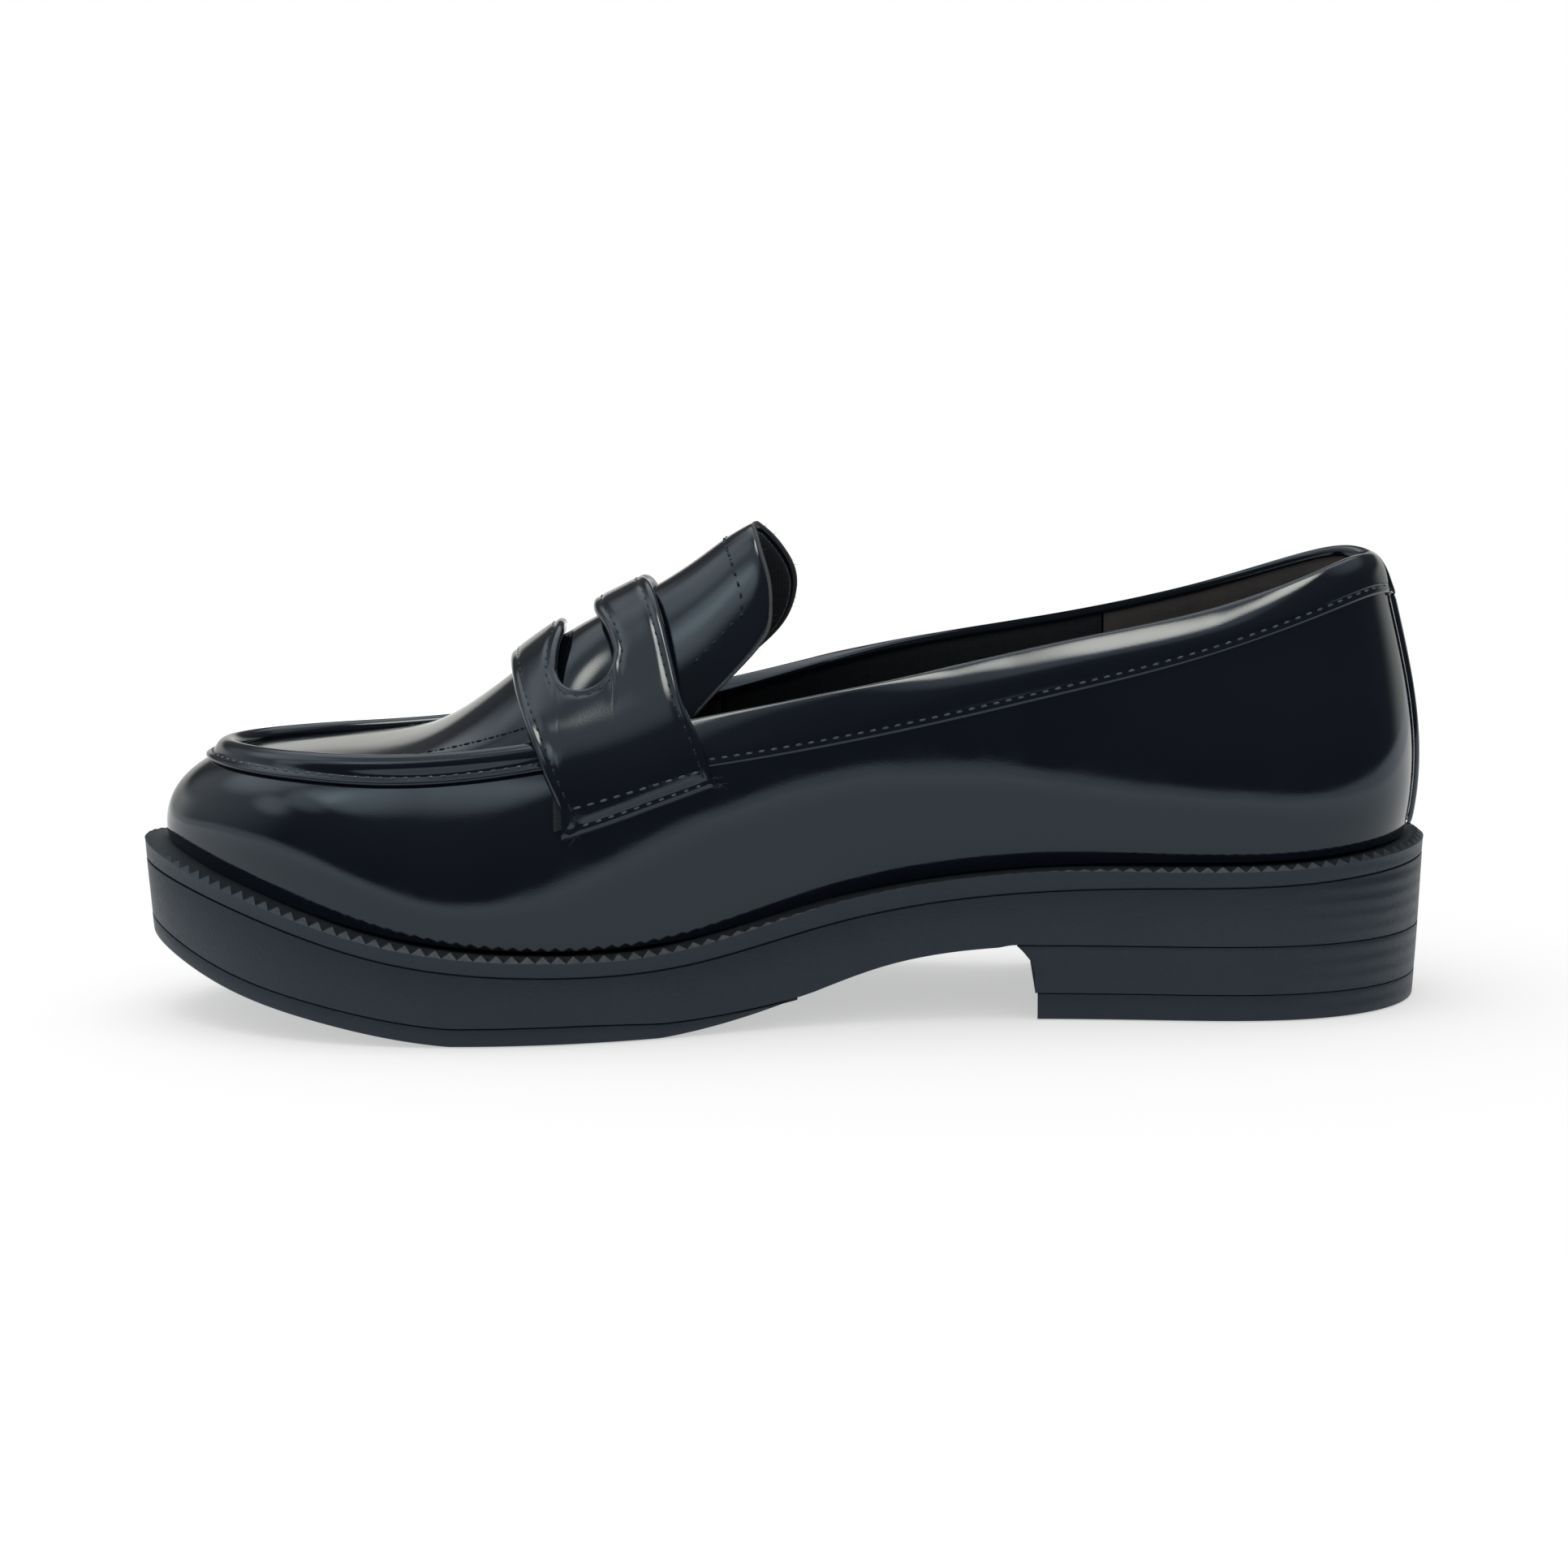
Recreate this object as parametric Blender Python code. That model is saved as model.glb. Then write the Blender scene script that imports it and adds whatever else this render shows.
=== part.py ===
"""Penny loafer, right shoe, EU size 38: a moccasin-built upper on a welted rubber sole.

Frame: +X runs from toe to heel, +Y from the inner (medial) side to the outer (lateral)
side, +Z up.  The origin is the centre of the shoe's footprint, on the ground.
All design values are in millimetres; meshes are written in metres.
"""
import math

import bmesh
import bpy
import numpy as np
from mathutils import Matrix

MM = 0.001
GAP = 0.35                      # clearance kept between neighbouring pieces

# ---- sole: welt outline seen from above, then the two profiles along its length ----
SOLE_OUTLINE = [
    (139, -2), (130, -24), (108, -35), (75, -33), (40, -29.5), (5, -32.5), (-33, -44),
    (-68, -47.5), (-100, -40.5), (-126, -24), (-139, -3),
    (-131, 22), (-108, 38), (-75, 46), (-38, 47.5), (0, 43), (40, 36.5), (75, 33),
    (105, 32), (130, 20)]
SHELF_HEIGHT = ([-139, -112, -85, -50, -20, 10, 40, 70, 105, 139],
                [38.3, 30, 22.5, 18.8, 20, 26.5, 31.2, 33.0, 33.7, 36])
GROUND_HEIGHT = ([-139, -122, -100, -75, -52, -25, 0, 20, 40, 54],
                 [18.3, 10.5, 4.6, 0.4, -0.8, 0.2, 5.5, 12, 15.3, 16.2])
WELT_THICKNESS = 4.4
WELT_WIDTH = 15.0
MIDSOLE_DEPTH = 17.0            # depths below the shelf at which each layer's side ends
TREAD_DEPTH = 21.0
BLOCK_DEPTH = 28.0
LIFT_DEPTH = 34.0
SIDE_DRAFT = 0.06               # inward lean of the sole's side, mm per mm of height
TREAD_THICKNESS = 3.9
TREAD_FEATHER = 50.0            # length over which it thins out
TREAD_TIP = 7.0                 # ... of which this much is cut off
TREAD_END = 2.0                 # the forefoot tread feathers out here, under the waist
HEEL_BREAST = 52.5              # front face of the heel, at the medial side
BREAST_COVE = 3.5               # the face curves forward by this where it meets the waist
BREAST_SKEW = 5.0               # the face lies further back on the lateral side
HEEL_BLOCK_TOP = 16.2
TOP_LIFT_THICKNESS = 5.6

# ---- layers above the welt shelf, as heights over the shelf ----
MARGIN_LEVEL = (0.3, 1.5)       # lasting margin of the upper, turned in under the board
BOARD_LEVEL = (1.9, 3.9)
FOAM_LEVEL = (4.25, 6.25)
SOCK_LEVEL = (6.6, 7.6)
SHANK_LEVEL = (0.35, 1.55)
LASTING_MARGIN = 8.5
BOARD_INSET = 3.0
SOCK_INSET = 4.6
FILLER_CLEARANCE = 0.5
FILLER_PAD = 1.5                # the filler is this much thicker ahead of FILLER_PAD_END
FILLER_PAD_END = -24.0

# ---- upper: width of the welt shelf outside it, and its top edge ----
SHELF_WIDTH = ([-139, -90, -40, 0, 60, 139], [5.4, 5.6, 5.2, 5.0, 5.0, 4.2])
TOP_EDGE = [
    (129.6, 1, 95.8), (126, -9, 96.5), (115, -18, 93.9), (92, -22.8, 86.9), (60, -24.8, 80.4),
    (25, -25.4, 73.4), (-12, -27, 66.7), (-50, -30, 60.3), (-83, -29.5, 57.8),
    (-108, -20, 57.6), (-119, -2, 57.5),
    (-113, 15, 56.8), (-90, 27, 57), (-55, 31, 59.5), (-15, 29, 66), (25, 26.5, 75.6),
    (60, 25.5, 81.2), (92, 23.5, 87.8), (115, 18.5, 94.3), (126, 10, 96.7)]
TOE_LEAN_START = -75            # ahead of here the wall sections fan round the toe
HEEL_LEAN_START = 100
# The wall's profile is a Bezier curve.  Its two inner points stand out by a swell in mm and
# along the wall by a rise, a share of its height from the foot or from the top edge.
WALL_X = [-134, -100, -75, -50, -25, 5, 35, 65, 95, 115, 135]
WALL_SWELL_LOW = (WALL_X, [3.0, 3.5, 1.8, 1.2, 2.5, 4.3, 5.9, 5.6, 5.4, 5.2, 5.2])
WALL_SWELL_HIGH = (WALL_X, [7.0, 6.3, 5.2, 6.6, 6.6, 4.0, 2.4, 2.0, 2.8, 3.1, 4.5])
WALL_RISE_LOW = (WALL_X, [0.6, 0.55, 0.45, 0.6, 0.7, 0.47, 0.4, 0.37, 0.4, 0.34, 0.36])
WALL_RISE_HIGH = (WALL_X, [0.1, 0.11, 0.2, 0.15, 0.17, 0.29, 0.42, 0.43, 0.37, 0.39, 0.36])

# ---- leather and lining layers, as depths below the outer face of the wall ----
WALL_LAYER = (0.0, 1.2)
STIFFENER_LAYER = (1.55, 2.35)  # toe puff and heel counter
STIFFENER_FOOT = 0.14           # lower edge, as a share of the wall's height
TOE_PUFF_END = -98
TOE_PUFF_TOP = 0.9
COUNTER_START = 78
COUNTER_TOP = 0.68
LINING_LAYER = (2.7, 3.5)
LINING_SHARE = (0.16, 0.985)    # lower and upper edge, as shares of the wall's height
LINING_JOINTS = (-14.0, 72.0)   # vamp to quarters, quarters to heel grip
LINING_JOINT_GAP = 0.8
BAND_LAYER = (-1.35, -GAP)      # pieces sewn on the outside of the wall
BAND_START = -22.0              # the strap hides where the band starts and the piping ends
PIPING_END = -49.0
TAB_LAYER = (-2.4, -1.7)
TAB_HALF_WIDTH = 7              # in wall sections, either side of the heel's middle
TAB_DROP = 9.2                  # lower end, below the top edge
BACKSTAY_HALF_WIDTH = 6
BACKSTAY_DROP = 9.8             # upper end, below the top edge
BACKSTAY_FOOT = 0.02            # lower end, as a share of the wall's height
BAND_HEIGHT = ([-20, 20, 60, 100, 130], [11.5, 11.5, 11.0, 9.5, 9.0])
PIPING_HEIGHT = 6.2
PIPING_CROWN = 1.5

# ---- apron and tongue: one arch from edge to edge over the instep ----
CREST_HEIGHT = ([-119, -108, -95, -85, -76, -67, -57, -46.8, -39.5, -27.6, -17.2, -10.8, -5],
                [57.2, 57.6, 58.2, 59.0, 61.2, 66.2, 73.4, 80.6, 84.6, 90.5, 97.0, 101.5, 104.6])
ARCH_POWER = 2.2
APRON_SPAN = (-117.0, -30.0)
APRON_INSET = 1.8
APRON_LINING_SPAN = (-112.0, -37.0)
APRON_LINING_INSET = 4.6
TONGUE_START = ([0, 1], [-29.2, -23.7])         # fore edge, crest to side
TONGUE_INSET = 5.0
TONGUE_DROP = 3.0
TONGUE_END = ([-1, -0.935, -0.87, -0.8, -0.7, -0.6, -0.45, -0.2, 0,
               0.2, 0.35, 0.48, 0.62, 0.75, 0.84, 0.92, 1],
              [-21.5, -17.2, -10.7, -4.6, -2.4, -2.5, -3.9, -5.6, -5.9,
               -4.2, -1.6, 1.0, 3.2, 2.4, -1.4, -10.0, -21.5])
LEATHER = 1.2
TONGUE_LINING_LAYER = (1.8, 2.7)
TONGUE_LINING_TRIM = 1.2
TONGUE_AXIS = (-29.0, 0.0, 89.0)

# ---- saddle strap ----
STRAP_FRONT = ([0, 0.62, 1.0], [-57.0, -52.8, -44.5])       # fore edge, crest to lower end
STRAP_REAR = ([0, 0.62, 1.0], [-28.0, -20.5, -16.0])
SLOT_FRONT = ([0, 0.12, 0.24, 0.34], [-45.6, -45.6, -46.6, -47.0])
SLOT_REAR = ([0, 0.12, 0.24, 0.34], [-39.3, -38.9, -36.6, -35.2])
SLOT_BOW = 0.125                # depth of the slot's round end, as the same share
SLOT_END = 0.34                 # where the slot stops, as a share of the crest-to-end run
STRAP_SPAN = (-66.0, -6.0)      # length of shoe over which the strap's surface is laid out
STRAP_TOP_SHARE = 0.62          # share of the run that lies on the apron
STRAP_DEPTH = ([-60, -44.5, -15, -5], [22.5, 21.4, 15.4, 13.7])     # end, below the top edge
STRAP_LIFT_ON_APRON = 1.0
STRAP_LIFT_AT_EDGE = 3.4        # it is held off by the piping and the band
STRAP_EDGE_WIDTH = 0.13
STRAP_LIFT_ON_WALL = 1.8
STRAP_LIFT_AT_END = 0.4
STRAP_END_TAPER = (0.86, 0.97)  # shares of the run between which it comes down to the wall
STRAP_LAYER = (1.0, 2.3)
BACKING_LAYER = (0.0, 0.5)
BACKING_INSET = 1.6
BACKING_END_TRIM = 0.025        # share of the run lost per mm of inset

# ---- hidden hardware ----
NAIL_SHAFT = 1.1
NAIL_HEAD = 2.2
NAIL_SEAT = 0.8                 # thickness of board left under a head
NAIL_BOTTOM = 8.5
NAIL_POINT = 3.0
NAIL_POINT_RADIUS = 0.3
DRILL_OVERRUN = 2.0
NAIL_PLACES = [(118, 0), (106, 12), (106, -12), (82, 12), (82, -12)]
SHANK_SPAN = (-8, 72)
SHANK_HALF_WIDTH = 6.0

STATIONS = 32                   # cross-sections along the shoe
PROFILE = 7                     # steps up the wall
FINE = 180                      # cross-sections of the master surface


# ---------------------------------------------------------------- curves
def closed_curve(points, samples):
    """Smooth closed curve through the points."""
    p = np.asarray(points, float)
    count = len(p)
    step = np.linalg.norm(np.roll(p, -1, 0) - p, axis=1) ** 0.75
    matrix = np.zeros((count, count))
    right = np.zeros_like(p)
    for i in range(count):
        before, after = step[i - 1], step[i]
        matrix[i, i - 1] += before
        matrix[i, i] += 2 * (before + after)
        matrix[i, (i + 1) % count] += after
        right[i] = 6 * ((p[(i + 1) % count] - p[i]) / after - (p[i] - p[i - 1]) / before)
    bend = np.linalg.solve(matrix, right)
    u = np.linspace(0, count, samples, endpoint=False)
    i = np.floor(u).astype(int) % count
    j = (i + 1) % count
    t = (u - np.floor(u))[:, None]
    s = 1 - t
    h = step[i][:, None]
    return p[i] * s + p[j] * t + h * h / 6 * ((s ** 3 - s) * bend[i] + (t ** 3 - t) * bend[j])


def profile(knots):
    """Smooth function through (places, values)."""
    x, y = (np.asarray(v, float) for v in knots)
    count = len(x)
    h = np.diff(x)
    matrix = np.eye(count)
    right = np.zeros(count)
    for i in range(1, count - 1):
        matrix[i, i - 1:i + 2] = h[i - 1], 2 * (h[i - 1] + h[i]), h[i]
        right[i] = 6 * ((y[i + 1] - y[i]) / h[i] - (y[i] - y[i - 1]) / h[i - 1])
    bend = np.linalg.solve(matrix, right)

    def value(q):
        q = np.clip(np.asarray(q, float), x[0], x[-1])
        i = np.clip(np.searchsorted(x, q) - 1, 0, count - 2)
        t = (q - x[i]) / h[i]
        s = 1 - t
        return (y[i] * s + y[i + 1] * t
                + h[i] ** 2 / 6 * ((s ** 3 - s) * bend[i] + (t ** 3 - t) * bend[i + 1]))
    return value


def inset(curve, distance):
    """Plan curve moved inwards; the distance may vary along it."""
    along = np.roll(curve, -1, 0) - np.roll(curve, 1, 0)
    normal = np.column_stack([-along[:, 1], along[:, 0]])
    normal /= np.linalg.norm(normal, axis=1)[:, None]
    if np.sum((curve - curve.mean(0)) * normal) > 0:
        normal = -normal
    return curve + normal * np.broadcast_to(distance, len(curve))[:, None]


def halves(curve):
    """Medial and lateral halves of a closed curve, each from toe to heel."""
    curve = np.roll(curve, -int(np.argmax(curve[:, 0])), 0)
    toe = int(np.argmin(curve[:, 0]))
    one = curve[:toe + 1][::-1]
    two = np.vstack([curve[toe:], curve[:1]])
    return (one, two) if one[len(one) // 2, 1] < two[len(two) // 2, 1] else (two, one)


def at_x(half, x):
    """The other coordinates of a half curve at the given x."""
    return np.column_stack([np.interp(x, half[:, 0], half[:, k]) for k in range(1, half.shape[1])])


def stations(first, last, count=STATIONS):
    """Places along the shoe, close together at both round ends."""
    return first + (last - first) * (1 - np.cos(np.pi * np.arange(count + 1) / count)) / 2


shelf_height = profile(SHELF_HEIGHT)
ground_profile = profile(GROUND_HEIGHT)
crest_height = profile(CREST_HEIGHT)
outline = closed_curve(SOLE_OUTLINE, 720)
feather = inset(outline, profile(SHELF_WIDTH)(outline[:, 0]))
top_edge = closed_curve(TOP_EDGE, 720)


def ground_height(x):
    """Underside of the sole: flat under the ball, sprung at the toe, arched at the waist."""
    return np.maximum(ground_profile(x), 0.0)


def tread_top(x):
    """Line between the forefoot tread and the midsole."""
    taper = np.sin(np.pi / 2 * np.clip((TREAD_END + TREAD_TIP - x) / TREAD_FEATHER, 0, 1))
    return ground_height(x) + TREAD_THICKNESS * taper


def midsole_bottom(x):
    """Underside of the midsole: over the tread, bare at the waist, flat over the heel."""
    step_start = HEEL_BREAST - BREAST_COVE - 4
    step_end = step_start + 3
    heel = np.interp(x, [step_start, step_end], [0, 1])
    return tread_top(x) * (1 - heel) + HEEL_BLOCK_TOP * heel


# ---------------------------------------------------------------- master surface of the wall
def wall_controls():
    """Bezier control points (ring, 4, 3) of the wall, round from toe, medial, heel, lateral."""
    x_low = stations(feather[:, 0].min(), feather[:, 0].max(), FINE)
    toe = np.clip((TOE_LEAN_START - x_low) / (TOE_LEAN_START - x_low[0]), 0, 1) ** 2
    heel = np.clip((x_low - HEEL_LEAN_START) / (x_low[-1] - HEEL_LEAN_START), 0, 1) ** 2
    x_high = (x_low + (top_edge[:, 0].min() - x_low[0]) * toe
              + (top_edge[:, 0].max() - x_low[-1]) * heel)
    sides = []
    for low_half, high_half, sign in zip(halves(feather), halves(top_edge), (-1, 1)):
        low = np.column_stack([x_low, at_x(low_half, x_low)[:, 0],
                               shelf_height(x_low) + MARGIN_LEVEL[0]])
        high = np.column_stack([x_high, at_x(high_half, x_high)])
        along = np.gradient(low[:, :2], axis=0)
        out = np.column_stack([-along[:, 1], along[:, 0], np.zeros(len(along))]) * sign
        out /= np.linalg.norm(out, axis=1)[:, None]
        out[0] = (-1, 0, 0)
        out[-1] = (1, 0, 0)
        rise = high[:, 2] - low[:, 2]
        up = np.array([0.0, 0.0, 1.0])
        pull_low = (low + out * profile(WALL_SWELL_LOW)(x_low)[:, None]
                    + up * (profile(WALL_RISE_LOW)(x_low) * rise)[:, None])
        pull_high = (high + out * profile(WALL_SWELL_HIGH)(x_low)[:, None]
                     - up * (profile(WALL_RISE_HIGH)(x_low) * rise)[:, None])
        sides.append(np.stack([low, pull_low, pull_high, high], axis=1))
    return x_low, np.concatenate([sides[0], sides[1][-2:0:-1]])


wall_x, controls = wall_controls()
RING = 2 * FINE


def wall_at(ring, t):
    """Points of the wall's outer face; ring in 0..RING, t in 0 (welt) .. 1 (top edge)."""
    ring = np.asarray(ring, float) % RING
    i = np.floor(ring).astype(int)
    f = (ring - i)[:, None, None]
    c = controls[i] * (1 - f) + controls[(i + 1) % RING] * f
    t = np.asarray(t, float)[:, None]
    s = 1 - t
    return s ** 3 * c[:, 0] + 3 * s * s * t * c[:, 1] + 3 * s * t * t * c[:, 2] + t ** 3 * c[:, 3]


def wall_layer(ring, t, depth):
    """Wall points moved inwards by depth along the surface normal."""
    ring = np.asarray(ring, float)
    t = np.broadcast_to(t, ring.shape).astype(float)
    step_ring, step_t = 1.0, 0.02
    along = wall_at(ring + step_ring, t) - wall_at(ring - step_ring, t)
    up = wall_at(ring, np.minimum(t + step_t, 1)) - wall_at(ring, np.maximum(t - step_t, 0))
    inward = np.cross(up, along)
    inward /= np.linalg.norm(inward, axis=1)[:, None]
    return wall_at(ring, t) + inward * np.broadcast_to(depth, ring.shape)[:, None]


def ring_at(x, lateral=False):
    """Ring coordinate of the section whose foot is at x."""
    place = float(np.interp(x, wall_x, np.arange(len(wall_x))))
    return RING - place if lateral else place


def ring_span(first, last):
    """Coarse ring places from first to last, going round through the heel or the toe."""
    coarse = np.arange(-2 * STATIONS, 4 * STATIONS + 1) * FINE / STATIONS
    inside = coarse[(coarse > first + 1) & (coarse < last - 1)]
    return np.concatenate([[first], inside, [last]])


def height_below_edge(ring, drop):
    """Profile position of the point that lies drop below the top edge, along the wall."""
    fine_t = np.linspace(0, 1, 101)
    result = []
    for k, d in zip(ring, np.broadcast_to(drop, len(ring))):
        points = wall_at(np.full(101, k), fine_t)
        run = np.concatenate([[0], np.cumsum(np.linalg.norm(np.diff(points, axis=0), axis=1))])
        result.append(np.interp(run[-1] - d, run, fine_t))
    return np.array(result)


# ---------------------------------------------------------------- master surface of the instep
medial_edge, lateral_edge = halves(top_edge)


def arch_at(x, u, side_inset=0.0, drop=0.0):
    """Points of the arch over the instep; u runs -1 (medial edge) .. 1 (lateral edge)."""
    x, u = np.broadcast_arrays(np.asarray(x, float), np.asarray(u, float))
    left = at_x(medial_edge, x.ravel())
    right = at_x(lateral_edge, x.ravel())
    left = left + np.array([side_inset, -drop])
    right = right - np.array([side_inset, drop])
    w = u.ravel()[:, None]
    yz = (left * (1 - w) + right * (1 + w)) / 2
    rise = crest_height(x.ravel()) - (left[:, 1] + right[:, 1]) / 2
    yz[:, 1] += rise * (1 - np.abs(u.ravel()) ** ARCH_POWER)
    return np.column_stack([x.ravel(), yz]).reshape(x.shape + (3,))


def sink(grid, depth):
    """Grid of points moved down along its own normals."""
    normal = np.cross(np.gradient(grid, axis=0), np.gradient(grid, axis=1))
    normal /= np.linalg.norm(normal, axis=2)[..., None]
    normal *= np.where(normal[..., 2:] > 0, -1, 1)
    return grid + normal * depth


# ---------------------------------------------------------------- meshes
def make_object(name, points, faces, material):
    """One closed body from points in millimetres, faces turned outwards."""
    mesh = bpy.data.meshes.new(name)
    mesh.from_pydata([tuple(p * MM) for p in np.asarray(points, float)], [], faces)
    bm = bmesh.new()
    bm.from_mesh(mesh)
    bmesh.ops.recalc_face_normals(bm, faces=bm.faces)
    if bm.calc_volume(signed=True) < 0:
        bmesh.ops.reverse_faces(bm, faces=bm.faces)
    bm.to_mesh(mesh)
    bm.free()
    mesh.shade_smooth()
    mesh.set_sharp_from_angle(angle=math.radians(35))
    mesh.materials.append(material)
    obj = bpy.data.objects.new(name, mesh)
    bpy.context.scene.collection.objects.link(obj)
    return obj


def slab(name, outer, inner, material, wrap=False, solid=None):
    """Closed body between two grids (rows, columns, 3); solid(i, j) says which cells exist."""
    rows, columns = outer.shape[:2]
    points = np.concatenate([outer.reshape(-1, 3), inner.reshape(-1, 3)])
    cells = {(i, j) for i in range(rows if wrap else rows - 1) for j in range(columns - 1)
             if solid is None or solid(i, j)}

    def corner(i, j, side):
        return (i % rows) * columns + j + side * rows * columns

    faces = []
    for i, j in sorted(cells):
        a, b, c, d = (i, j), (i + 1, j), (i + 1, j + 1), (i, j + 1)
        faces.append([corner(*q, 0) for q in (a, b, c, d)])
        faces.append([corner(*q, 1) for q in (d, c, b, a)])
        for p, q, neighbour in ((a, b, (i, j - 1)), (b, c, (i + 1, j)),
                                (c, d, (i, j + 1)), (d, a, (i - 1, j))):
            if wrap:
                neighbour = (neighbour[0] % rows, neighbour[1])
            if neighbour not in cells:
                faces.append([corner(*q, 0), corner(*p, 0), corner(*p, 1), corner(*q, 1)])
    used = sorted({v for f in faces for v in f})
    index = {v: n for n, v in enumerate(used)}
    return make_object(name, points[used], [[index[v] for v in f] for f in faces], material)


def ring_loft(name, loops, material):
    """Closed ring body from (sections, points, 3), each section a closed loop."""
    sections, size = loops.shape[:2]
    faces = [[i * size + j, ((i + 1) % sections) * size + j,
              ((i + 1) % sections) * size + (j + 1) % size, i * size + (j + 1) % size]
             for i in range(sections) for j in range(size)]
    return make_object(name, loops.reshape(-1, 3), faces, material)


def plate(name, top_outline, bottom_outline, top, bottom, material, first=None, last=None,
          cove=0.0, skew=0.0):
    """Closed plate between two height functions of x, optionally cut off at first or last.

    The cut at first stands forward by cove along its top edge, and lies further back by
    skew on the lateral side.
    """
    grids = []
    for curve, height, forward in ((top_outline, top, cove), (bottom_outline, bottom, 0.0)):
        start = curve[:, 0].min() + 0.2
        end = curve[:, 0].max() - 0.2
        if first is not None:
            start = first - forward
            quarter_turn = np.linspace(0, np.pi / 2, STATIONS // 2 + 1)
            x = start + (end - start) * np.sin(quarter_turn)
        elif last is not None:
            quarter_turn = np.linspace(0, np.pi / 2, STATIONS * 3 // 4 + 1)
            x = start + (last - start) * (1 - np.cos(quarter_turn))
        else:
            x = stations(start, end)
        z = height(x)
        shift = skew * (x[-1] - x) / (x[-1] - x[0])
        grids.append(np.stack([np.column_stack([x + d, at_x(half, x + d)[:, 0], z])
                               for half, d in zip(halves(curve), (0.0, shift))], axis=1))
    return slab(name, grids[0], grids[1], material)


def level(height):
    """Constant height as a function of x."""
    return lambda x: np.full(np.shape(x), float(height))


def above_shelf(height):
    """Height over the welt shelf as a function of x."""
    return lambda x: shelf_height(x) + height


def cylinder(bm, radius, bottom, top, x, y, segments=16):
    """Adds an upright cylinder to a bmesh; millimetres."""
    made = bmesh.ops.create_cone(bm, cap_ends=True, segments=segments, radius1=radius * MM,
                                 radius2=radius * MM, depth=(top - bottom) * MM)
    bmesh.ops.translate(bm, verts=made["verts"],
                        vec=(x * MM, y * MM, (top + bottom) / 2 * MM))


def drill(target, name, radius, bottom, top):
    """Cuts one hole for every nail through a piece; bottom and top are functions of x."""
    bm = bmesh.new()
    for x, y in NAIL_PLACES:
        cylinder(bm, radius, float(bottom(x)), float(top(x)), x, y)
    mesh = bpy.data.meshes.new(name)
    bm.to_mesh(mesh)
    bm.free()
    cutter = bpy.data.objects.new(name, mesh)
    cutter.hide_render = True
    cutter.display_type = "WIRE"
    bpy.context.scene.collection.objects.link(cutter)
    cut = target.modifiers.new(name, "BOOLEAN")
    cut.operation = "DIFFERENCE"
    cut.object = cutter


# ---------------------------------------------------------------- materials
def make_material(name, colour, roughness, metallic=0.0):
    material = bpy.data.materials.new(name)
    material.use_nodes = True
    shader = material.node_tree.nodes["Principled BSDF"]
    shader.inputs["Base Color"].default_value = (*colour, 1.0)
    shader.inputs["Roughness"].default_value = roughness
    shader.inputs["Metallic"].default_value = metallic
    return material


# ---------------------------------------------------------------- bottom of the shoe
def build_welt(rubber):
    """Ring laid on the edge of the midsole; its outer shelf carries the upper."""
    places = np.arange(0, 720, 8)
    lean = SIDE_DRAFT * WELT_THICKNESS
    rings = []
    for distance, drop in ((0, 0), (lean, WELT_THICKNESS), (WELT_WIDTH, WELT_THICKNESS),
                           (WELT_WIDTH, 0)):
        plan = inset(outline, distance)[places]
        rings.append(np.column_stack([plan, shelf_height(plan[:, 0]) - drop]))
    ring_loft("welt", np.stack(rings, axis=1), rubber)


def build_sole(rubber):
    """Midsole, forefoot tread, heel block and top lift, each drafted like the welt."""
    def side(height_below_shelf):
        return inset(outline, SIDE_DRAFT * height_below_shelf)

    midsole = plate("midsole", side(WELT_THICKNESS), side(MIDSOLE_DEPTH),
                    above_shelf(-WELT_THICKNESS - GAP), midsole_bottom, rubber)
    plate("outsole_forefoot", side(MIDSOLE_DEPTH), side(TREAD_DEPTH),
          lambda x: tread_top(x) - GAP, ground_height, rubber, last=TREAD_END)
    block = plate("heel_block", side(MIDSOLE_DEPTH), side(BLOCK_DEPTH),
                  level(HEEL_BLOCK_TOP - GAP), level(TOP_LIFT_THICKNESS + GAP), rubber,
                  first=HEEL_BREAST, cove=BREAST_COVE, skew=BREAST_SKEW)
    plate("heel_top_lift", side(BLOCK_DEPTH), side(LIFT_DEPTH), level(TOP_LIFT_THICKNESS),
          level(0.0), rubber, first=HEEL_BREAST + 0.5, skew=BREAST_SKEW)
    return midsole, block


def build_insole(board_fibre, foam, suede, cork, steel):
    """Everything between the welt and the foot."""
    inner_edge = inset(outline, WELT_WIDTH + FILLER_CLEARANCE)

    def filler_top(x):
        return shelf_height(x) + FILLER_PAD * np.clip((FILLER_PAD_END - x) / 6, 0, 1)

    filler = plate("bottom_filler", inner_edge, inner_edge, filler_top,
                   above_shelf(-WELT_THICKNESS), cork)
    edge = inset(feather, BOARD_INSET)
    board = plate("insole_board", edge, edge, above_shelf(BOARD_LEVEL[1]),
                  above_shelf(BOARD_LEVEL[0]), board_fibre)
    edge = inset(feather, SOCK_INSET)
    plate("insole_foam", edge, edge, above_shelf(FOAM_LEVEL[1]), above_shelf(FOAM_LEVEL[0]), foam)
    plate("sock_lining", edge, edge, above_shelf(SOCK_LEVEL[1]), above_shelf(SOCK_LEVEL[0]), suede)
    build_shank(steel)
    return filler, board


def build_shank(steel):
    """Sprung steel strip that stiffens the waist, between filler and board."""
    x = np.linspace(*SHANK_SPAN, 13)
    middle = sum(at_x(half, x)[:, 0] for half in halves(outline)) / 2
    ends = np.sqrt(np.clip(1 - np.abs(np.linspace(-1, 1, 13)) ** 12, 0.05, 1))
    grids = []
    for height in reversed(SHANK_LEVEL):
        z = shelf_height(x) + height
        grids.append(np.stack([np.column_stack([x, middle + s * SHANK_HALF_WIDTH * ends, z])
                               for s in (-1, 1)], axis=1))
    slab("shank", grids[0], grids[1], steel)


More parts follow.
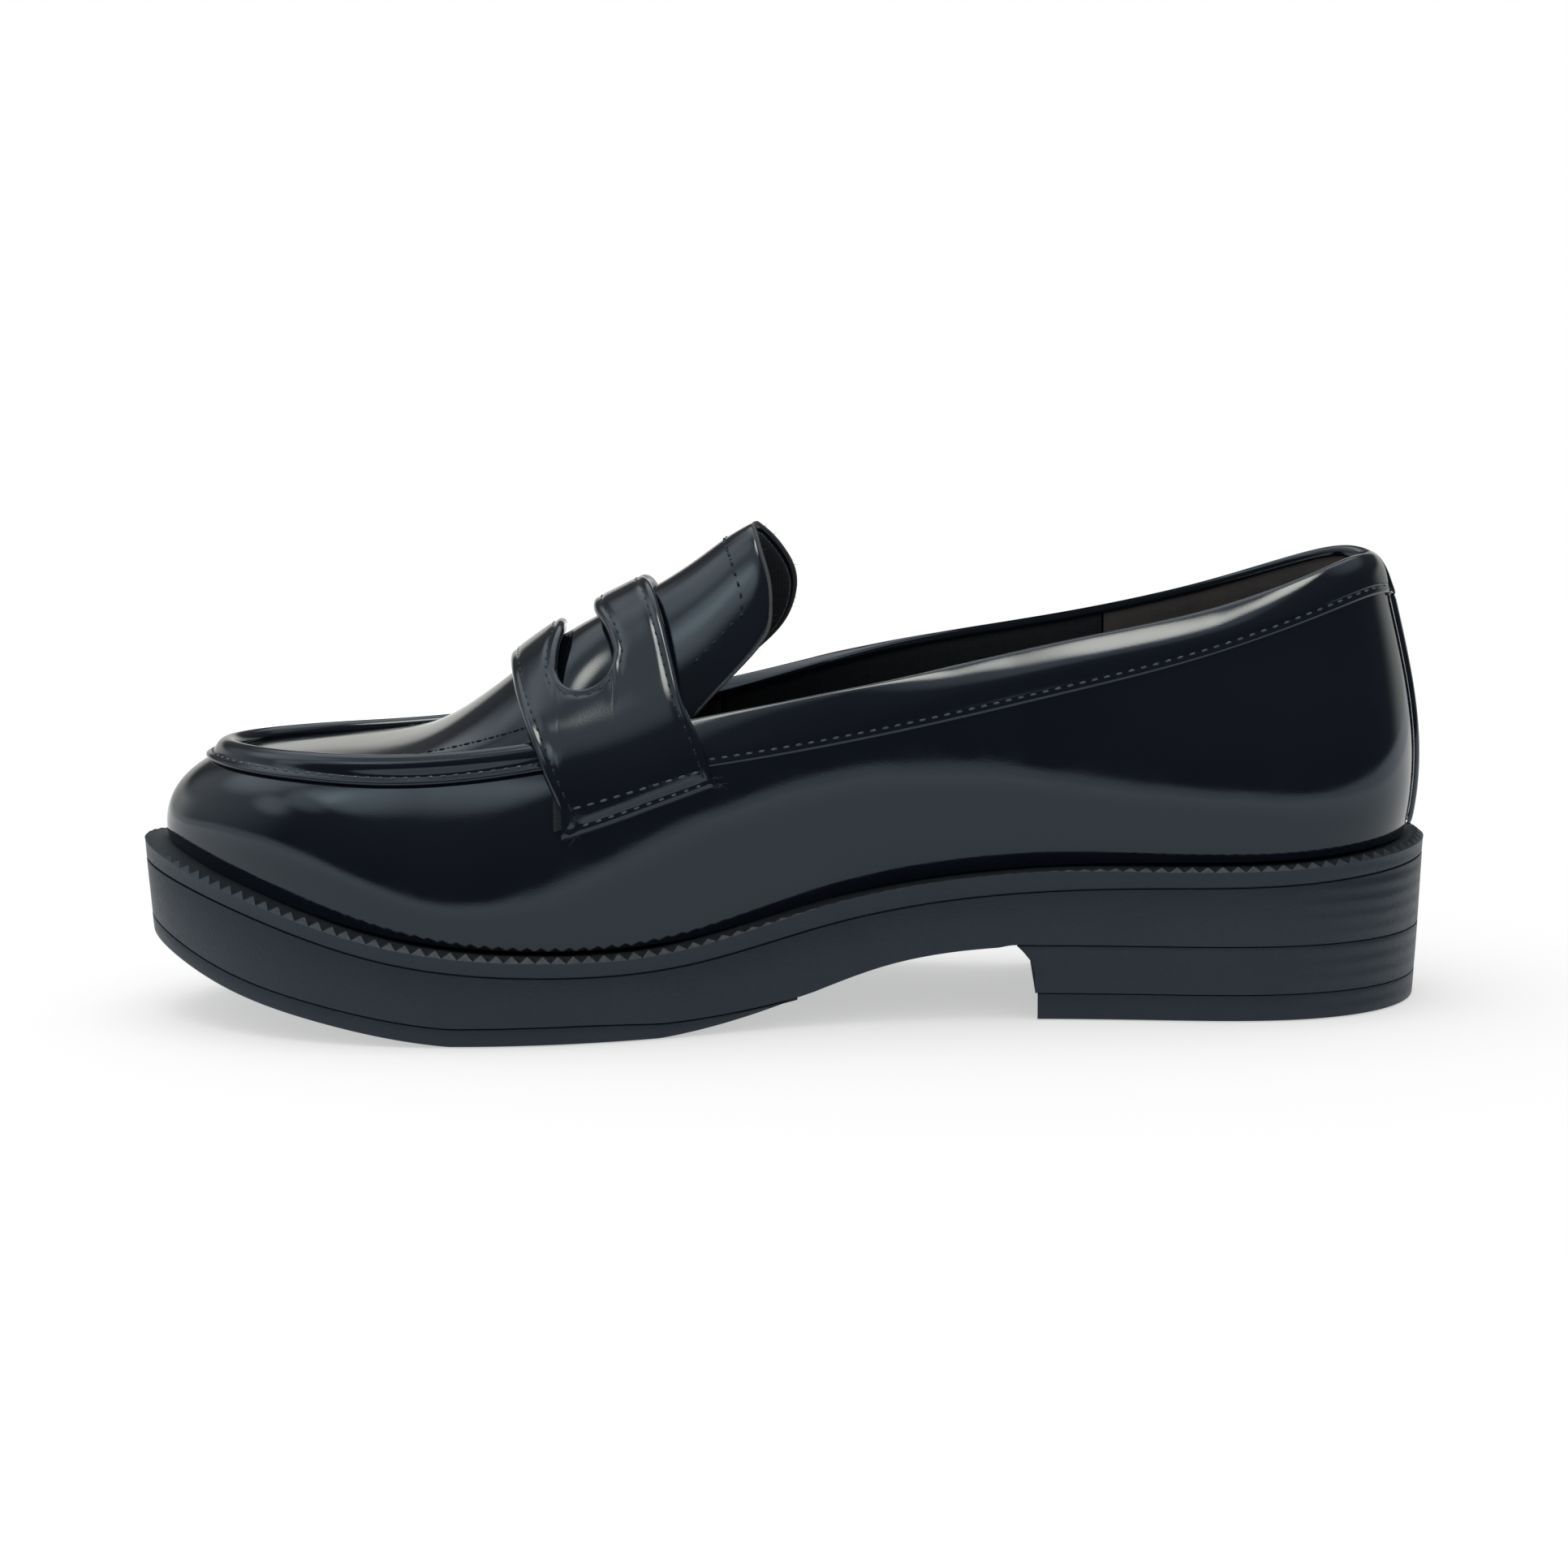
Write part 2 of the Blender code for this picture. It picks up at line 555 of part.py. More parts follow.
def build_nails(steel, board, filler, midsole, block):
    """Five nails driven through the insole board into the heel block."""
    hole = NAIL_SHAFT + GAP
    seat = above_shelf(BOARD_LEVEL[0] + NAIL_SEAT)
    over_board = above_shelf(BOARD_LEVEL[1] + DRILL_OVERRUN)
    under_board = above_shelf(BOARD_LEVEL[0] - DRILL_OVERRUN)
    under_filler = above_shelf(-WELT_THICKNESS - DRILL_OVERRUN)
    drill(board, "board_holes", hole, under_board, over_board)
    drill(board, "board_seats", NAIL_HEAD + GAP, seat, over_board)
    drill(filler, "filler_holes", hole, under_filler, above_shelf(DRILL_OVERRUN))
    drill(midsole, "midsole_holes", hole, level(HEEL_BLOCK_TOP - DRILL_OVERRUN), above_shelf(0))
    drill(block, "block_holes", hole, level(NAIL_BOTTOM - GAP),
          level(HEEL_BLOCK_TOP + DRILL_OVERRUN))
    for number, (x, y) in enumerate(NAIL_PLACES, start=1):
        head_top = float(shelf_height(x)) + BOARD_LEVEL[1]
        head_bottom = float(seat(x)) + GAP
        segments = 16
        angle = np.arange(segments) * 2 * np.pi / segments
        circle = np.column_stack([np.cos(angle), np.sin(angle)])
        loops = []
        for radius, z in ((NAIL_HEAD, head_top), (NAIL_HEAD, head_bottom),
                          (NAIL_SHAFT, head_bottom), (NAIL_SHAFT, NAIL_BOTTOM + NAIL_POINT),
                          (NAIL_POINT_RADIUS, NAIL_BOTTOM)):
            loops.append(np.column_stack([circle * radius + (x, y), np.full(segments, z)]))
        count = len(loops)
        faces = [[k * segments + i, k * segments + (i + 1) % segments,
                  (k + 1) * segments + (i + 1) % segments, (k + 1) * segments + i]
                 for k in range(count - 1) for i in range(segments)]
        faces.append(list(range(segments)))
        faces.append(list(range((count - 1) * segments, count * segments))[::-1])
        make_object(f"heel_nail_{number}", np.vstack(loops), faces, steel)


# ---------------------------------------------------------------- upper
def layer_grid(ring, low, high, depth, steps=PROFILE):
    """Grid (ring places, steps + 1, 3) on the wall between two profile positions."""
    low = np.broadcast_to(low, len(ring))
    high = np.broadcast_to(high, len(ring))
    shares = np.linspace(0, 1, steps + 1)
    return np.stack([wall_layer(ring, low + (high - low) * f, depth) for f in shares], axis=1)


def build_wall(leather):
    """Moccasin wall: one piece round the foot, its lower margin turned in under the board."""
    ring = np.arange(2 * STATIONS) * FINE / STATIONS
    outer = layer_grid(ring, 0.0, 1.0, WALL_LAYER[0])
    inner = layer_grid(ring, 0.0, 1.0, WALL_LAYER[1])[:, ::-1]
    inner[:, -1, 2] = outer[:, 0, 2] + MARGIN_LEVEL[1] - MARGIN_LEVEL[0]
    foot = outer[:, 0]
    margin_plan = inset(foot[:, :2], LASTING_MARGIN)
    base = shelf_height(margin_plan[:, 0])
    margin = [np.column_stack([margin_plan, base + z]) for z in reversed(MARGIN_LEVEL)]
    loops = np.concatenate([outer, inner, np.stack(margin, axis=1)], axis=1)
    ring_loft("moccasin_wall", loops, leather)


def build_stiffeners(fibre):
    """Toe puff and heel counter, moulded between leather and lining."""
    toe = ring_span(ring_at(TOE_PUFF_END, lateral=True) - RING, ring_at(TOE_PUFF_END))
    heel = ring_span(ring_at(COUNTER_START), ring_at(COUNTER_START, lateral=True))
    for name, ring, top in (("toe_puff", toe, TOE_PUFF_TOP), ("heel_counter", heel, COUNTER_TOP)):
        grids = [layer_grid(ring, STIFFENER_FOOT, top, depth, 5) for depth in STIFFENER_LAYER]
        slab(name, *grids, fibre)


def build_linings(fabric, suede):
    """Wall linings: vamp, two quarters and the suede heel grip."""
    front, back = LINING_JOINTS
    quarter_front, quarter_back = front + LINING_JOINT_GAP, back - LINING_JOINT_GAP
    spans = (("vamp_lining", ring_at(front, True) - RING, ring_at(front), fabric),
             ("quarter_lining_medial", ring_at(quarter_front), ring_at(quarter_back), fabric),
             ("heel_lining", ring_at(back), ring_at(back, True), suede),
             ("quarter_lining_lateral", ring_at(quarter_back, True),
              ring_at(quarter_front, True), fabric))
    for name, first, last, material in spans:
        ring = ring_span(first, last)
        grids = [layer_grid(ring, *LINING_SHARE, depth, 6) for depth in LINING_LAYER]
        slab(name, *grids, material)


def build_edge_bands(leather):
    """Piping round the apron, band round the top line, heel tab and backstay."""
    ring = ring_span(ring_at(PIPING_END, True) - RING, ring_at(PIPING_END))
    steps = 4
    low = height_below_edge(ring, PIPING_HEIGHT)
    crown = PIPING_CROWN * np.sin(np.pi * np.linspace(0, 1, steps + 1)) ** 0.7
    outer = np.stack([wall_layer(ring, low + (1 - low) * f, BAND_LAYER[0] - c)
                      for f, c in zip(np.linspace(0, 1, steps + 1), crown)], axis=1)
    slab("apron_piping", outer, layer_grid(ring, low, 1.0, BAND_LAYER[1], steps), leather)

    ring = ring_span(ring_at(BAND_START), ring_at(BAND_START, True))
    band_height = profile(BAND_HEIGHT)(wall_at(ring, np.ones(len(ring)))[:, 0])
    low = height_below_edge(ring, band_height)
    grids = [layer_grid(ring, low, 1.0, depth, 3) for depth in BAND_LAYER]
    slab("topline_band", *grids, leather)

    ring = ring_span(FINE - TAB_HALF_WIDTH, FINE + TAB_HALF_WIDTH)
    low = height_below_edge(ring, TAB_DROP)
    slab("heel_tab", *[layer_grid(ring, low, 1.0, depth, 3) for depth in TAB_LAYER], leather)
    ring = ring_span(FINE - BACKSTAY_HALF_WIDTH, FINE + BACKSTAY_HALF_WIDTH)
    high = height_below_edge(ring, BACKSTAY_DROP)
    grids = [layer_grid(ring, BACKSTAY_FOOT, high, depth, 6) for depth in BAND_LAYER]
    slab("backstay_strip", *grids, leather)


def build_apron(leather, fabric):
    """Apron (plug) inside the piping, and its lining."""
    u = np.linspace(-1, 1, 9)
    for name, span, side, top, bottom, material in (
            ("apron", APRON_SPAN, APRON_INSET, 0.0, LEATHER, leather),
            ("apron_lining", APRON_LINING_SPAN, APRON_LINING_INSET, LEATHER + GAP, 2 * LEATHER,
             fabric)):
        start, end = span
        x = start + (end - start) * (1 - np.cos(np.pi / 2 * np.linspace(0, 1, 18)))
        grid = arch_at(x[:, None], u[None, :], side_inset=side)
        slab(name, sink(grid, top), sink(grid, bottom), material)


def build_tongue(leather, fabric):
    """Free end of the instep piece, with a rounded edge; it flexes where it leaves the strap."""
    axis = bpy.data.objects.new("tongue_axis", None)
    axis.location = [v * MM for v in TONGUE_AXIS]
    bpy.context.scene.collection.objects.link(axis)
    u = np.linspace(-1, 1, 13)
    end = profile(TONGUE_END)(u)
    for name, (top, bottom), trim, material in (
            ("tongue", (0.0, LEATHER), 0.0, leather),
            ("tongue_lining", TONGUE_LINING_LAYER, TONGUE_LINING_TRIM, fabric)):
        f = np.linspace(0, 1, 9)[:, None]
        start = profile(TONGUE_START)(u ** 2)
        x = start + (end - trim - start) * f
        grid = arch_at(x, u[None, :], TONGUE_INSET, TONGUE_DROP)
        piece = slab(name, sink(grid, top), sink(grid, bottom), material)
        piece.parent = axis
        piece.matrix_parent_inverse.identity()
        piece.data.transform(Matrix.Translation([-v * MM for v in TONGUE_AXIS]))


# ---------------------------------------------------------------- saddle strap
def strap_surface():
    """Grid of the face the strap lies on: x places, runs -1 (medial end) .. 1 (lateral end)."""
    x_places = np.arange(*STRAP_SPAN, 2.0)
    run = np.linspace(-1, 1, 81)
    top = STRAP_TOP_SHARE
    depth = profile(STRAP_DEPTH)
    rows = []
    for x in x_places:
        crest_line = arch_at(np.full(201, x), np.linspace(-1, 1, 201))
        steps = np.linalg.norm(np.diff(crest_line, axis=0), axis=1)
        length = np.concatenate([[0], np.cumsum(steps)])
        share = length / length[-1] * 2 - 1
        row = np.empty((len(run), 3))
        on_top = np.abs(run) <= top
        for k in range(3):
            row[on_top, k] = np.interp(run[on_top] / top, share, crest_line[:, k])
        for lateral in (False, True):
            picked = ~on_top & ((run > 0) == lateral)
            drops = (np.abs(run[picked]) - top) / (1 - top) * float(depth(x))
            ring = np.full(len(drops), ring_at(x, lateral))
            row[picked] = [wall_layer(ring[i:i + 1], height_below_edge(ring[i:i + 1], d), 0)[0]
                           for i, d in enumerate(drops)]
        rows.append(row)
    grid = np.array(rows)
    flat = np.where(np.abs(run) < top, STRAP_LIFT_ON_APRON, STRAP_LIFT_ON_WALL)
    over_edge = np.exp(-((np.abs(run) - top) / STRAP_EDGE_WIDTH) ** 2)
    at_end = np.interp(np.abs(run), STRAP_END_TAPER, [0, 1])
    lift = flat + (STRAP_LIFT_AT_EDGE - flat) * over_edge
    lift -= (STRAP_LIFT_ON_WALL - STRAP_LIFT_AT_END) * at_end
    grid = lifted(grid, lift)
    for _ in range(4):
        grid[:, 1:-1] = grid[:, 1:-1] / 2 + (grid[:, 2:] + grid[:, :-2]) / 4
    return x_places, run, grid


def lifted(grid, lift):
    """Grid pushed outwards, away from the shoe's core, along its normals."""
    normal = np.cross(np.gradient(grid, axis=0), np.gradient(grid, axis=1))
    normal /= np.linalg.norm(normal, axis=2)[..., None]
    core = np.array([0.0, 0.0, 45.0])
    away = grid - core
    away[..., 0] = 0
    normal *= np.sign(np.sum(normal * away, axis=2))[..., None]
    return grid + normal * np.broadcast_to(lift, grid.shape[:2])[..., None]


def on_strap(surface, x, run):
    """Points and outward normals of the strap's lower face at (x, run)."""
    x_places, runs, grid = surface
    fx = np.clip(np.interp(x, x_places, np.arange(len(x_places))), 0, len(x_places) - 1.001)
    fr = np.clip(np.interp(run, runs, np.arange(len(runs))), 0, len(runs) - 1.001)
    i, j = np.floor(fx).astype(int), np.floor(fr).astype(int)
    a, b = (fx - i)[..., None], (fr - j)[..., None]

    def blend(values):
        return ((values[i, j] * (1 - a) + values[i + 1, j] * a) * (1 - b)
                + (values[i, j + 1] * (1 - a) + values[i + 1, j + 1] * a) * b)

    out = lifted(grid, 1.0) - grid
    return blend(grid), blend(out)


def strap_grid(surface, edge):
    """Strap pattern (columns across, rows along) with a slot; edge trims it all round."""
    front, slot_front = profile(STRAP_FRONT), profile(SLOT_FRONT)
    slot_rear, rear = profile(SLOT_REAR), profile(STRAP_REAR)
    half = np.concatenate([np.linspace(0, SLOT_END, 8), np.linspace(SLOT_END, 1, 9)[1:]])
    run = np.concatenate([-half[:0:-1], half])
    size = np.abs(run)
    share = np.array([0, 1])
    f, r = front(size) + edge, rear(size) - edge
    sf = slot_front(np.minimum(size, SLOT_END)) - edge
    sr = slot_rear(np.minimum(size, SLOT_END)) + edge
    columns = [f * (1 - s) + sf * s for s in share]
    middle = np.linspace(0, 1, 7)[1:-1]
    columns += [sf * (1 - s) + sr * s for s in middle]
    columns += [sr * (1 - s) + r * s for s in share]
    x = np.array(columns)
    runs = np.tile(run, (len(x), 1))
    for k, s in enumerate(middle, start=2):
        bow = SLOT_BOW * np.sqrt(1 - (2 * s - 1) ** 2)
        outside = size >= SLOT_END - 1e-9
        moved = SLOT_END + bow + (size - SLOT_END) / (1 - SLOT_END) * (1 - SLOT_END - bow)
        runs[k, outside] = (np.sign(run) * moved)[outside]
    runs *= 1 - edge * BACKING_END_TRIM
    return on_strap(surface, x, runs), run


def build_strap(leather, fabric):
    """Saddle strap over the instep, with its slot, and the backing inside it."""
    surface = strap_surface()
    for name, layers, edge, material in (("saddle_strap", STRAP_LAYER, 0.0, leather),
                                         ("strap_backing", BACKING_LAYER, BACKING_INSET, fabric)):
        (points, out), run = strap_grid(surface, edge)
        rows = len(run)
        gap_cells = [j for j in range(rows - 1)
                     if max(abs(run[j]), abs(run[j + 1])) <= SLOT_END + 1e-9]

        def solid(i, j):
            return not (1 <= i <= 6 and j in gap_cells)

        slab(name, points + out * layers[1], points + out * layers[0], material, solid=solid)


# ---------------------------------------------------------------- the shoe
def main():
    for obj in list(bpy.data.objects):
        bpy.data.objects.remove(obj, do_unlink=True)
    leather = make_material("box_leather", (0.006, 0.008, 0.014), 0.12)
    rubber = make_material("sole_rubber", (0.02, 0.024, 0.03), 0.5)
    fabric = make_material("lining_textile", (0.012, 0.013, 0.016), 0.9)
    suede = make_material("heel_suede", (0.035, 0.026, 0.022), 0.95)
    fibre = make_material("fibre_board", (0.35, 0.24, 0.15), 0.85)
    foam = make_material("insole_foam", (0.25, 0.25, 0.24), 0.95)
    cork = make_material("cork_filler", (0.30, 0.18, 0.09), 0.9)
    steel = make_material("spring_steel", (0.5, 0.5, 0.52), 0.3, 1.0)

    build_welt(rubber)
    midsole, block = build_sole(rubber)
    filler, board = build_insole(fibre, foam, suede, cork, steel)
    build_nails(steel, board, filler, midsole, block)
    build_wall(leather)
    build_stiffeners(fibre)
    build_linings(fabric, suede)
    build_edge_bands(leather)
    build_apron(leather, fabric)
    build_tongue(leather, fabric)
    build_strap(leather, fabric)


main()
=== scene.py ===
import math

import bmesh
import bpy
import numpy as np
from mathutils import Matrix, Vector


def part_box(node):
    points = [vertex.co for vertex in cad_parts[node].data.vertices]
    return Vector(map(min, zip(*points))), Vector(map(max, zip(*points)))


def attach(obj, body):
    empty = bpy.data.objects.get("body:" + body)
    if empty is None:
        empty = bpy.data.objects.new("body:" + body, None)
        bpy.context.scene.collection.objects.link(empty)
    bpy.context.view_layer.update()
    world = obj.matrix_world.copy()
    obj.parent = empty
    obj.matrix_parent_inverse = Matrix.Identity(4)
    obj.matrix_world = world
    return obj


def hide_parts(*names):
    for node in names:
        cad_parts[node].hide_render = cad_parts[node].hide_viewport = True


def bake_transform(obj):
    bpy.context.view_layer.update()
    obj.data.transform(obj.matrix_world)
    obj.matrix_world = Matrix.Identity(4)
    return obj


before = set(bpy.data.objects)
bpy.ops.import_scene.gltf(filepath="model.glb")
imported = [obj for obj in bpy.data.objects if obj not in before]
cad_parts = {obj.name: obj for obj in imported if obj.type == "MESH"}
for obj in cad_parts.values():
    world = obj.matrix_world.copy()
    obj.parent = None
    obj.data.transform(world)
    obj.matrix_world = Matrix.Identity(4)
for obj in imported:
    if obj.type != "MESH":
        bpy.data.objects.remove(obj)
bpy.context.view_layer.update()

# ============================================================ design values, in millimetres
# The driving dimensions of the CAD part: +X toe to heel, +Y medial to lateral, +Z up.
# A pair of lists is a smooth curve: places along the shoe (x), then the values there.

# Sole
SOLE_LENGTH = 278.0
SOLE_OUTLINE = [                # (x, y), from the back of the heel round by the medial side
    (139, -2), (130, -24), (108, -35), (75, -33), (40, -29.5), (5, -32.5), (-33, -44),
    (-68, -47.5), (-100, -40.5), (-126, -24), (-139, -3),
    (-131, 22), (-108, 38), (-75, 46), (-38, 47.5), (0, 43), (40, 36.5), (75, 33),
    (105, 32), (130, 20)]
SHELF_HEIGHT = ([-139, -112, -85, -50, -20, 10, 40, 70, 105, 139],
                [38.3, 30, 22.5, 18.8, 20, 26.5, 31.2, 33.0, 33.7, 36])
GROUND_HEIGHT = ([-139, -122, -100, -75, -52, -25, 0, 20, 40, 54],
                 [18.3, 10.5, 4.6, 0.4, -0.8, 0.2, 5.5, 12, 15.3, 16.2])
WELT_THICKNESS = 4.4
WELT_WIDTH = 15.0
SIDE_DRAFT = 0.06               # how far the sole's side leans in, per millimetre down
MIDSOLE_DEPTH = 17.0            # depths below the shelf at which the layers' outlines are set
TREAD_DEPTH = 21.0
LIFT_DEPTH = 28.0
FLOOR_DEPTH = 34.0
TREAD_THICKNESS = 3.9
TREAD_END = 2.0                 # x of the tread's rear end
TREAD_FEATHER = 50.0            # the tread thins out over this length
TREAD_TIP = 2.0                 # and the last bit of the thin end is cut off
HEEL_BREAST = 52.5              # x of the heel's front face
BREAST_RISE = (-8.0, -4.2)      # where the midsole's underside rises to the heel, from the breast
BREAST_COVE = 4.0               # forward sweep of the breast where it meets the waist
BREAST_SKEW = 5.0               # how much farther back the breast lies on the lateral side
COVE_BOTTOM = 9.5
HEEL_BLOCK_TOP = 16.2
TOP_LIFT_THICKNESS = 5.6
SOLE_GAP = 0.15
RIB_PITCH = 7.0                 # cross grooves in the tread
RIB_DEPTH = 1.1
RIB_CURVE = 0.004               # bow of the grooves, per millimetre squared

# Upper
MARGIN_LEVEL = (0.3, 1.5)       # faces of the turned-in margin, above the shelf
LASTING_MARGIN = 8.5
SOCK_LEVEL = (6.6, 7.6)         # faces of the sock lining, above the shelf
SOCK_INSET = 8.3
SHELF_WIDTH = ([-139, -90, -40, 0, 60, 139], [5.4, 5.6, 5.2, 5.0, 5.0, 4.2])
TOP_EDGE = [                    # (x, y, z) round the apron and the foot opening
    (129.6, 1, 95.8), (126, -9, 96.5), (115, -18, 93.9), (92, -22.8, 86.9), (60, -24.8, 80.4),
    (25, -25.4, 73.4), (-12, -27, 66.7), (-50, -30, 60.3), (-83, -29.5, 57.8),
    (-108, -20, 57.6), (-119, -2, 57.5),
    (-113, 15, 56.8), (-90, 27, 57), (-55, 31, 59.5), (-15, 29, 66), (25, 26.5, 75.6),
    (60, 25.5, 81.2), (92, 23.5, 87.8), (115, 18.5, 94.3), (126, 10, 96.7)]
TOE_LEAN_START = -75            # beyond these the wall's sections lean back or forward
HEEL_LEAN_START = 100
# A wall section is a Bezier curve. Its two inner control points stand out by SWELL, and lie above
# its foot and below its top by RISE, a share of its height.
WALL_X = [-134, -100, -75, -50, -25, 5, 35, 65, 95, 115, 135]
WALL_SWELL_LOW = (WALL_X, [3.0, 3.5, 1.8, 1.2, 2.5, 4.3, 5.9, 5.6, 5.4, 5.2, 5.2])
WALL_SWELL_HIGH = (WALL_X, [7.0, 6.3, 5.2, 6.8, 7.1, 4.8, 2.6, 2.0, 2.8, 3.1, 4.5])
WALL_RISE_LOW = (WALL_X, [0.6, 0.55, 0.45, 0.6, 0.7, 0.47, 0.4, 0.37, 0.4, 0.34, 0.36])
WALL_RISE_HIGH = (WALL_X, [0.1, 0.11, 0.2, 0.15, 0.155, 0.25, 0.41, 0.43, 0.37, 0.39, 0.36])
LEATHER = 1.2
LINING_LAYER = (2.7, 3.5)       # depths of the lining's faces below the wall's outer face
LINING_FOOT = 0.16              # where the linings start, as a share of the wall's profile
LINING_SPLITS = (-14.0, 72.0)   # vamp to quarter, quarter to heel grip
LINING_GAP = 0.5

# Distances below the top edge, along the wall
BAND_HEIGHT = ([-20, 20, 60, 100, 130], [11.5, 11.5, 11.0, 9.5, 9.0])
WALL_TOP_UNDER_BEAD = 2.5       # the wall and the vamp lining stop here under the bead
WALL_TOP_IN_COLLAR = 4.5
LINING_TOP_IN_COLLAR = 1.3
BEAD_TO_COLLAR = (-45, -30)     # x over which one changes to the other
BEAD_REAR = -44.0               # x where the bead ends, under the strap
BEAD_STITCH = 4.5
COLLAR_FRONT = -28.0            # x where the collar starts, under the strap
BACKSTAY_TOP = 9.1
BACKSTAY_FACES = (0.2, 0.25, 1.3)   # heights over the wall: inner face, side edge and outer face
BACKSTAY_ROUND = 1.4

# Sections swept along the top edge: (distance below it, depth into the shoe)
BEAD_SECTION = [                # a lip sewn to the wall, a channel, then the roll
    (6.2, -0.25), (6.15, -1.0), (5.8, -1.35), (5.2, -1.3), (4.5, -0.95),
    (3.8, -1.35), (3.1, -2.0), (2.2, -2.5), (1.1, -2.6), (0.1, -2.35),
    (-0.7, -1.7), (-1.2, -0.7), (-1.2, 0.35), (-0.7, 1.2), (0.4, 1.6),
    (1.6, 1.5), (1.8, 0.7), (0.3, -0.2), (3.0, -0.2)]
TAB_SECTION = [                 # up the outside, over the collar's rim and down inside
    (9.7, -0.9), (9.6, -1.4), (9.0, -1.55), (6.6, -1.2), (4.9, -1.05), (3.2, -0.7),
    (1.6, -0.1), (0.5, 0.5), (-0.2, 1.2), (-0.5, 2.3), (-0.35, 3.5), (0.5, 4.3),
    (1.8, 4.6), (2.6, 4.6), (2.7, 4.3), (1.8, 4.2), (0.9, 3.8), (0.2, 2.8), (0.5, 1.5),
    (1.4, 0.5), (2.6, 0.1), (4.6, -0.4)]
COLLAR_LINING_EDGE = [          # the collar's rim inside the shoe, hemmed onto the lining
    (0.0, 3.45), (0.4, 3.8), (0.9, 3.95), (1.4, 4.05), (1.8, 4.1), (2.0, 3.8), (1.7, 3.5),
    (1.5, 2.9), (2.2, 1.5), (4.0, 0.3), (6.0, -0.1)]
COLLAR_THICKNESS = 0.8
COLLAR_SLOPE = 5.8              # width of the band's upper part, which leans in
COLLAR_LEAN_LOW = ([-20, 12, 48, 66, 92, 112, 130], [0, 2, 34, 37, 31, 12, 2])
COLLAR_LEAN_HIGH = ([-20, 12, 35, 62, 100, 116, 130], [0, 10, 38, 39, 40, 31, 26])
COLLAR_STITCH = 1.6             # distance of the sewn row from the band's lower edge

# Instep: apron and tongue
CREST_HEIGHT = ([-119, -108, -95, -85, -76, -67, -57, -46.8, -39.5, -27.6, -17.2, -10.8, -5],
                [57.2, 57.6, 58.2, 59.0, 61.2, 66.2, 73.4, 80.6, 84.6, 90.5, 97.0, 101.5, 104.6])
ARCH_POWER = 2.2
APRON_FRONT = -117.6
APRON_INSET = 1.8               # distance of the sheet's side from the top edge
APRON_EDGE = (0.7, 2.2)         # fall and radius of its rounded edge
TONGUE_INSET = 5.0
TONGUE_DROP = 3.0               # the tongue's sides lie this far below the top edge
NARROWING = (-48, -31)          # x over which the apron narrows to the tongue
TONGUE_END = ([-1, -0.935, -0.87, -0.8, -0.7, -0.6, -0.45, -0.2, 0,
               0.2, 0.35, 0.48, 0.62, 0.75, 0.84, 0.92, 1],
              [-21.5, -17.2, -10.7, -4.6, -2.4, -2.5, -3.9, -5.6, -5.9,
               -4.2, -1.6, 1.0, 3.2, 2.4, -1.4, -10.0, -21.5])
TONGUE_START = -30.0            # x of the last grid row before the tongue
TONGUE_LINING_START = ([0, 1], [-29.2, -23.7])  # x over u squared
TONGUE_LINING_LAYER = (LEATHER + 0.35, 2.4)     # depths of its faces
TONGUE_LINING_SHORT = 0.8       # how far it stops short of the tongue's end
TONGUE_HALF_ARC = 42.0          # length over the arch from the crest to the side
TONGUE_STITCH = 6.2             # distance of the sewn row from the free edge
PLUG_STITCH = 3.4 / 27.0        # distance of the apron's rows from its edge, over the half width

# Saddle strap: edges by run, which is 0 on the crest and 1 at the strap's end
STRAP_FRONT = ([0, 0.62, 1.0], [-57.0, -52.8, -44.5])
STRAP_REAR = ([0, 0.62, 1.0], [-28.0, -20.5, -16.0])
SLOT_FRONT = ([0, 0.12, 0.24, 0.34], [-45.6, -45.6, -46.6, -47.0])
SLOT_REAR = ([0, 0.12, 0.24, 0.34], [-39.3, -38.9, -36.6, -35.2])
SLOT_END = 0.34
SLOT_BOW = 0.125                # how far the slot's round ends reach beyond SLOT_END, as run
STRAP_TOP_SHARE = 0.62          # run at which the strap leaves the apron for the wall
STRAP_DEPTH = ([-60, -44.5, -15, -5], [22.5, 21.4, 15.4, 13.7])
STRAP_LIFT_ON_APRON = 1.0       # how far it stands off, also where it bridges the bead
STRAP_LIFT_AT_EDGE = 3.4
STRAP_LIFT_ON_WALL = 1.8
STRAP_LIFT_AT_END = -0.1
STRAP_BRIDGE = 0.13             # half length of the bridge over the bead, as run
STRAP_END_TAPER = (0.76, 1.0)   # runs between which it settles onto the wall
STRAP_MIDDLE = 1.5              # height of the strap's middle over the face it lies on
STRAP_HALF_THICKNESS = 1.15
STRAP_ROUND = 1.5               # radius of its turned edges
STRAP_STITCH = 2.0              # distance of the sewn rows from the edges
END_STITCH_RUNS = (0.965, 0.895)    # the two rows across each end
STITCH_GROOVE = 0.32            # how far the thread pulls the leather in
SLOT_STITCH_REACH = 0.032       # the row passes the slot's ends by this much run
CORNER_FIBRES = 16

# Sampling
CURVE_SAMPLES = 4000
FINE = 240                      # wall sections from toe to heel
RING = 2 * FINE
EDGE_STEPS = 61                 # points up the wall when distances are measured
MERGE_DISTANCE = 2e-6           # metres
UP = np.array([0.0, 0.0, 1.0])

welt_low, welt_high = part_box("welt")
MM = (welt_high.x - welt_low.x) / SOLE_LENGTH
CENTRE_X = (welt_high.x + welt_low.x) / 2


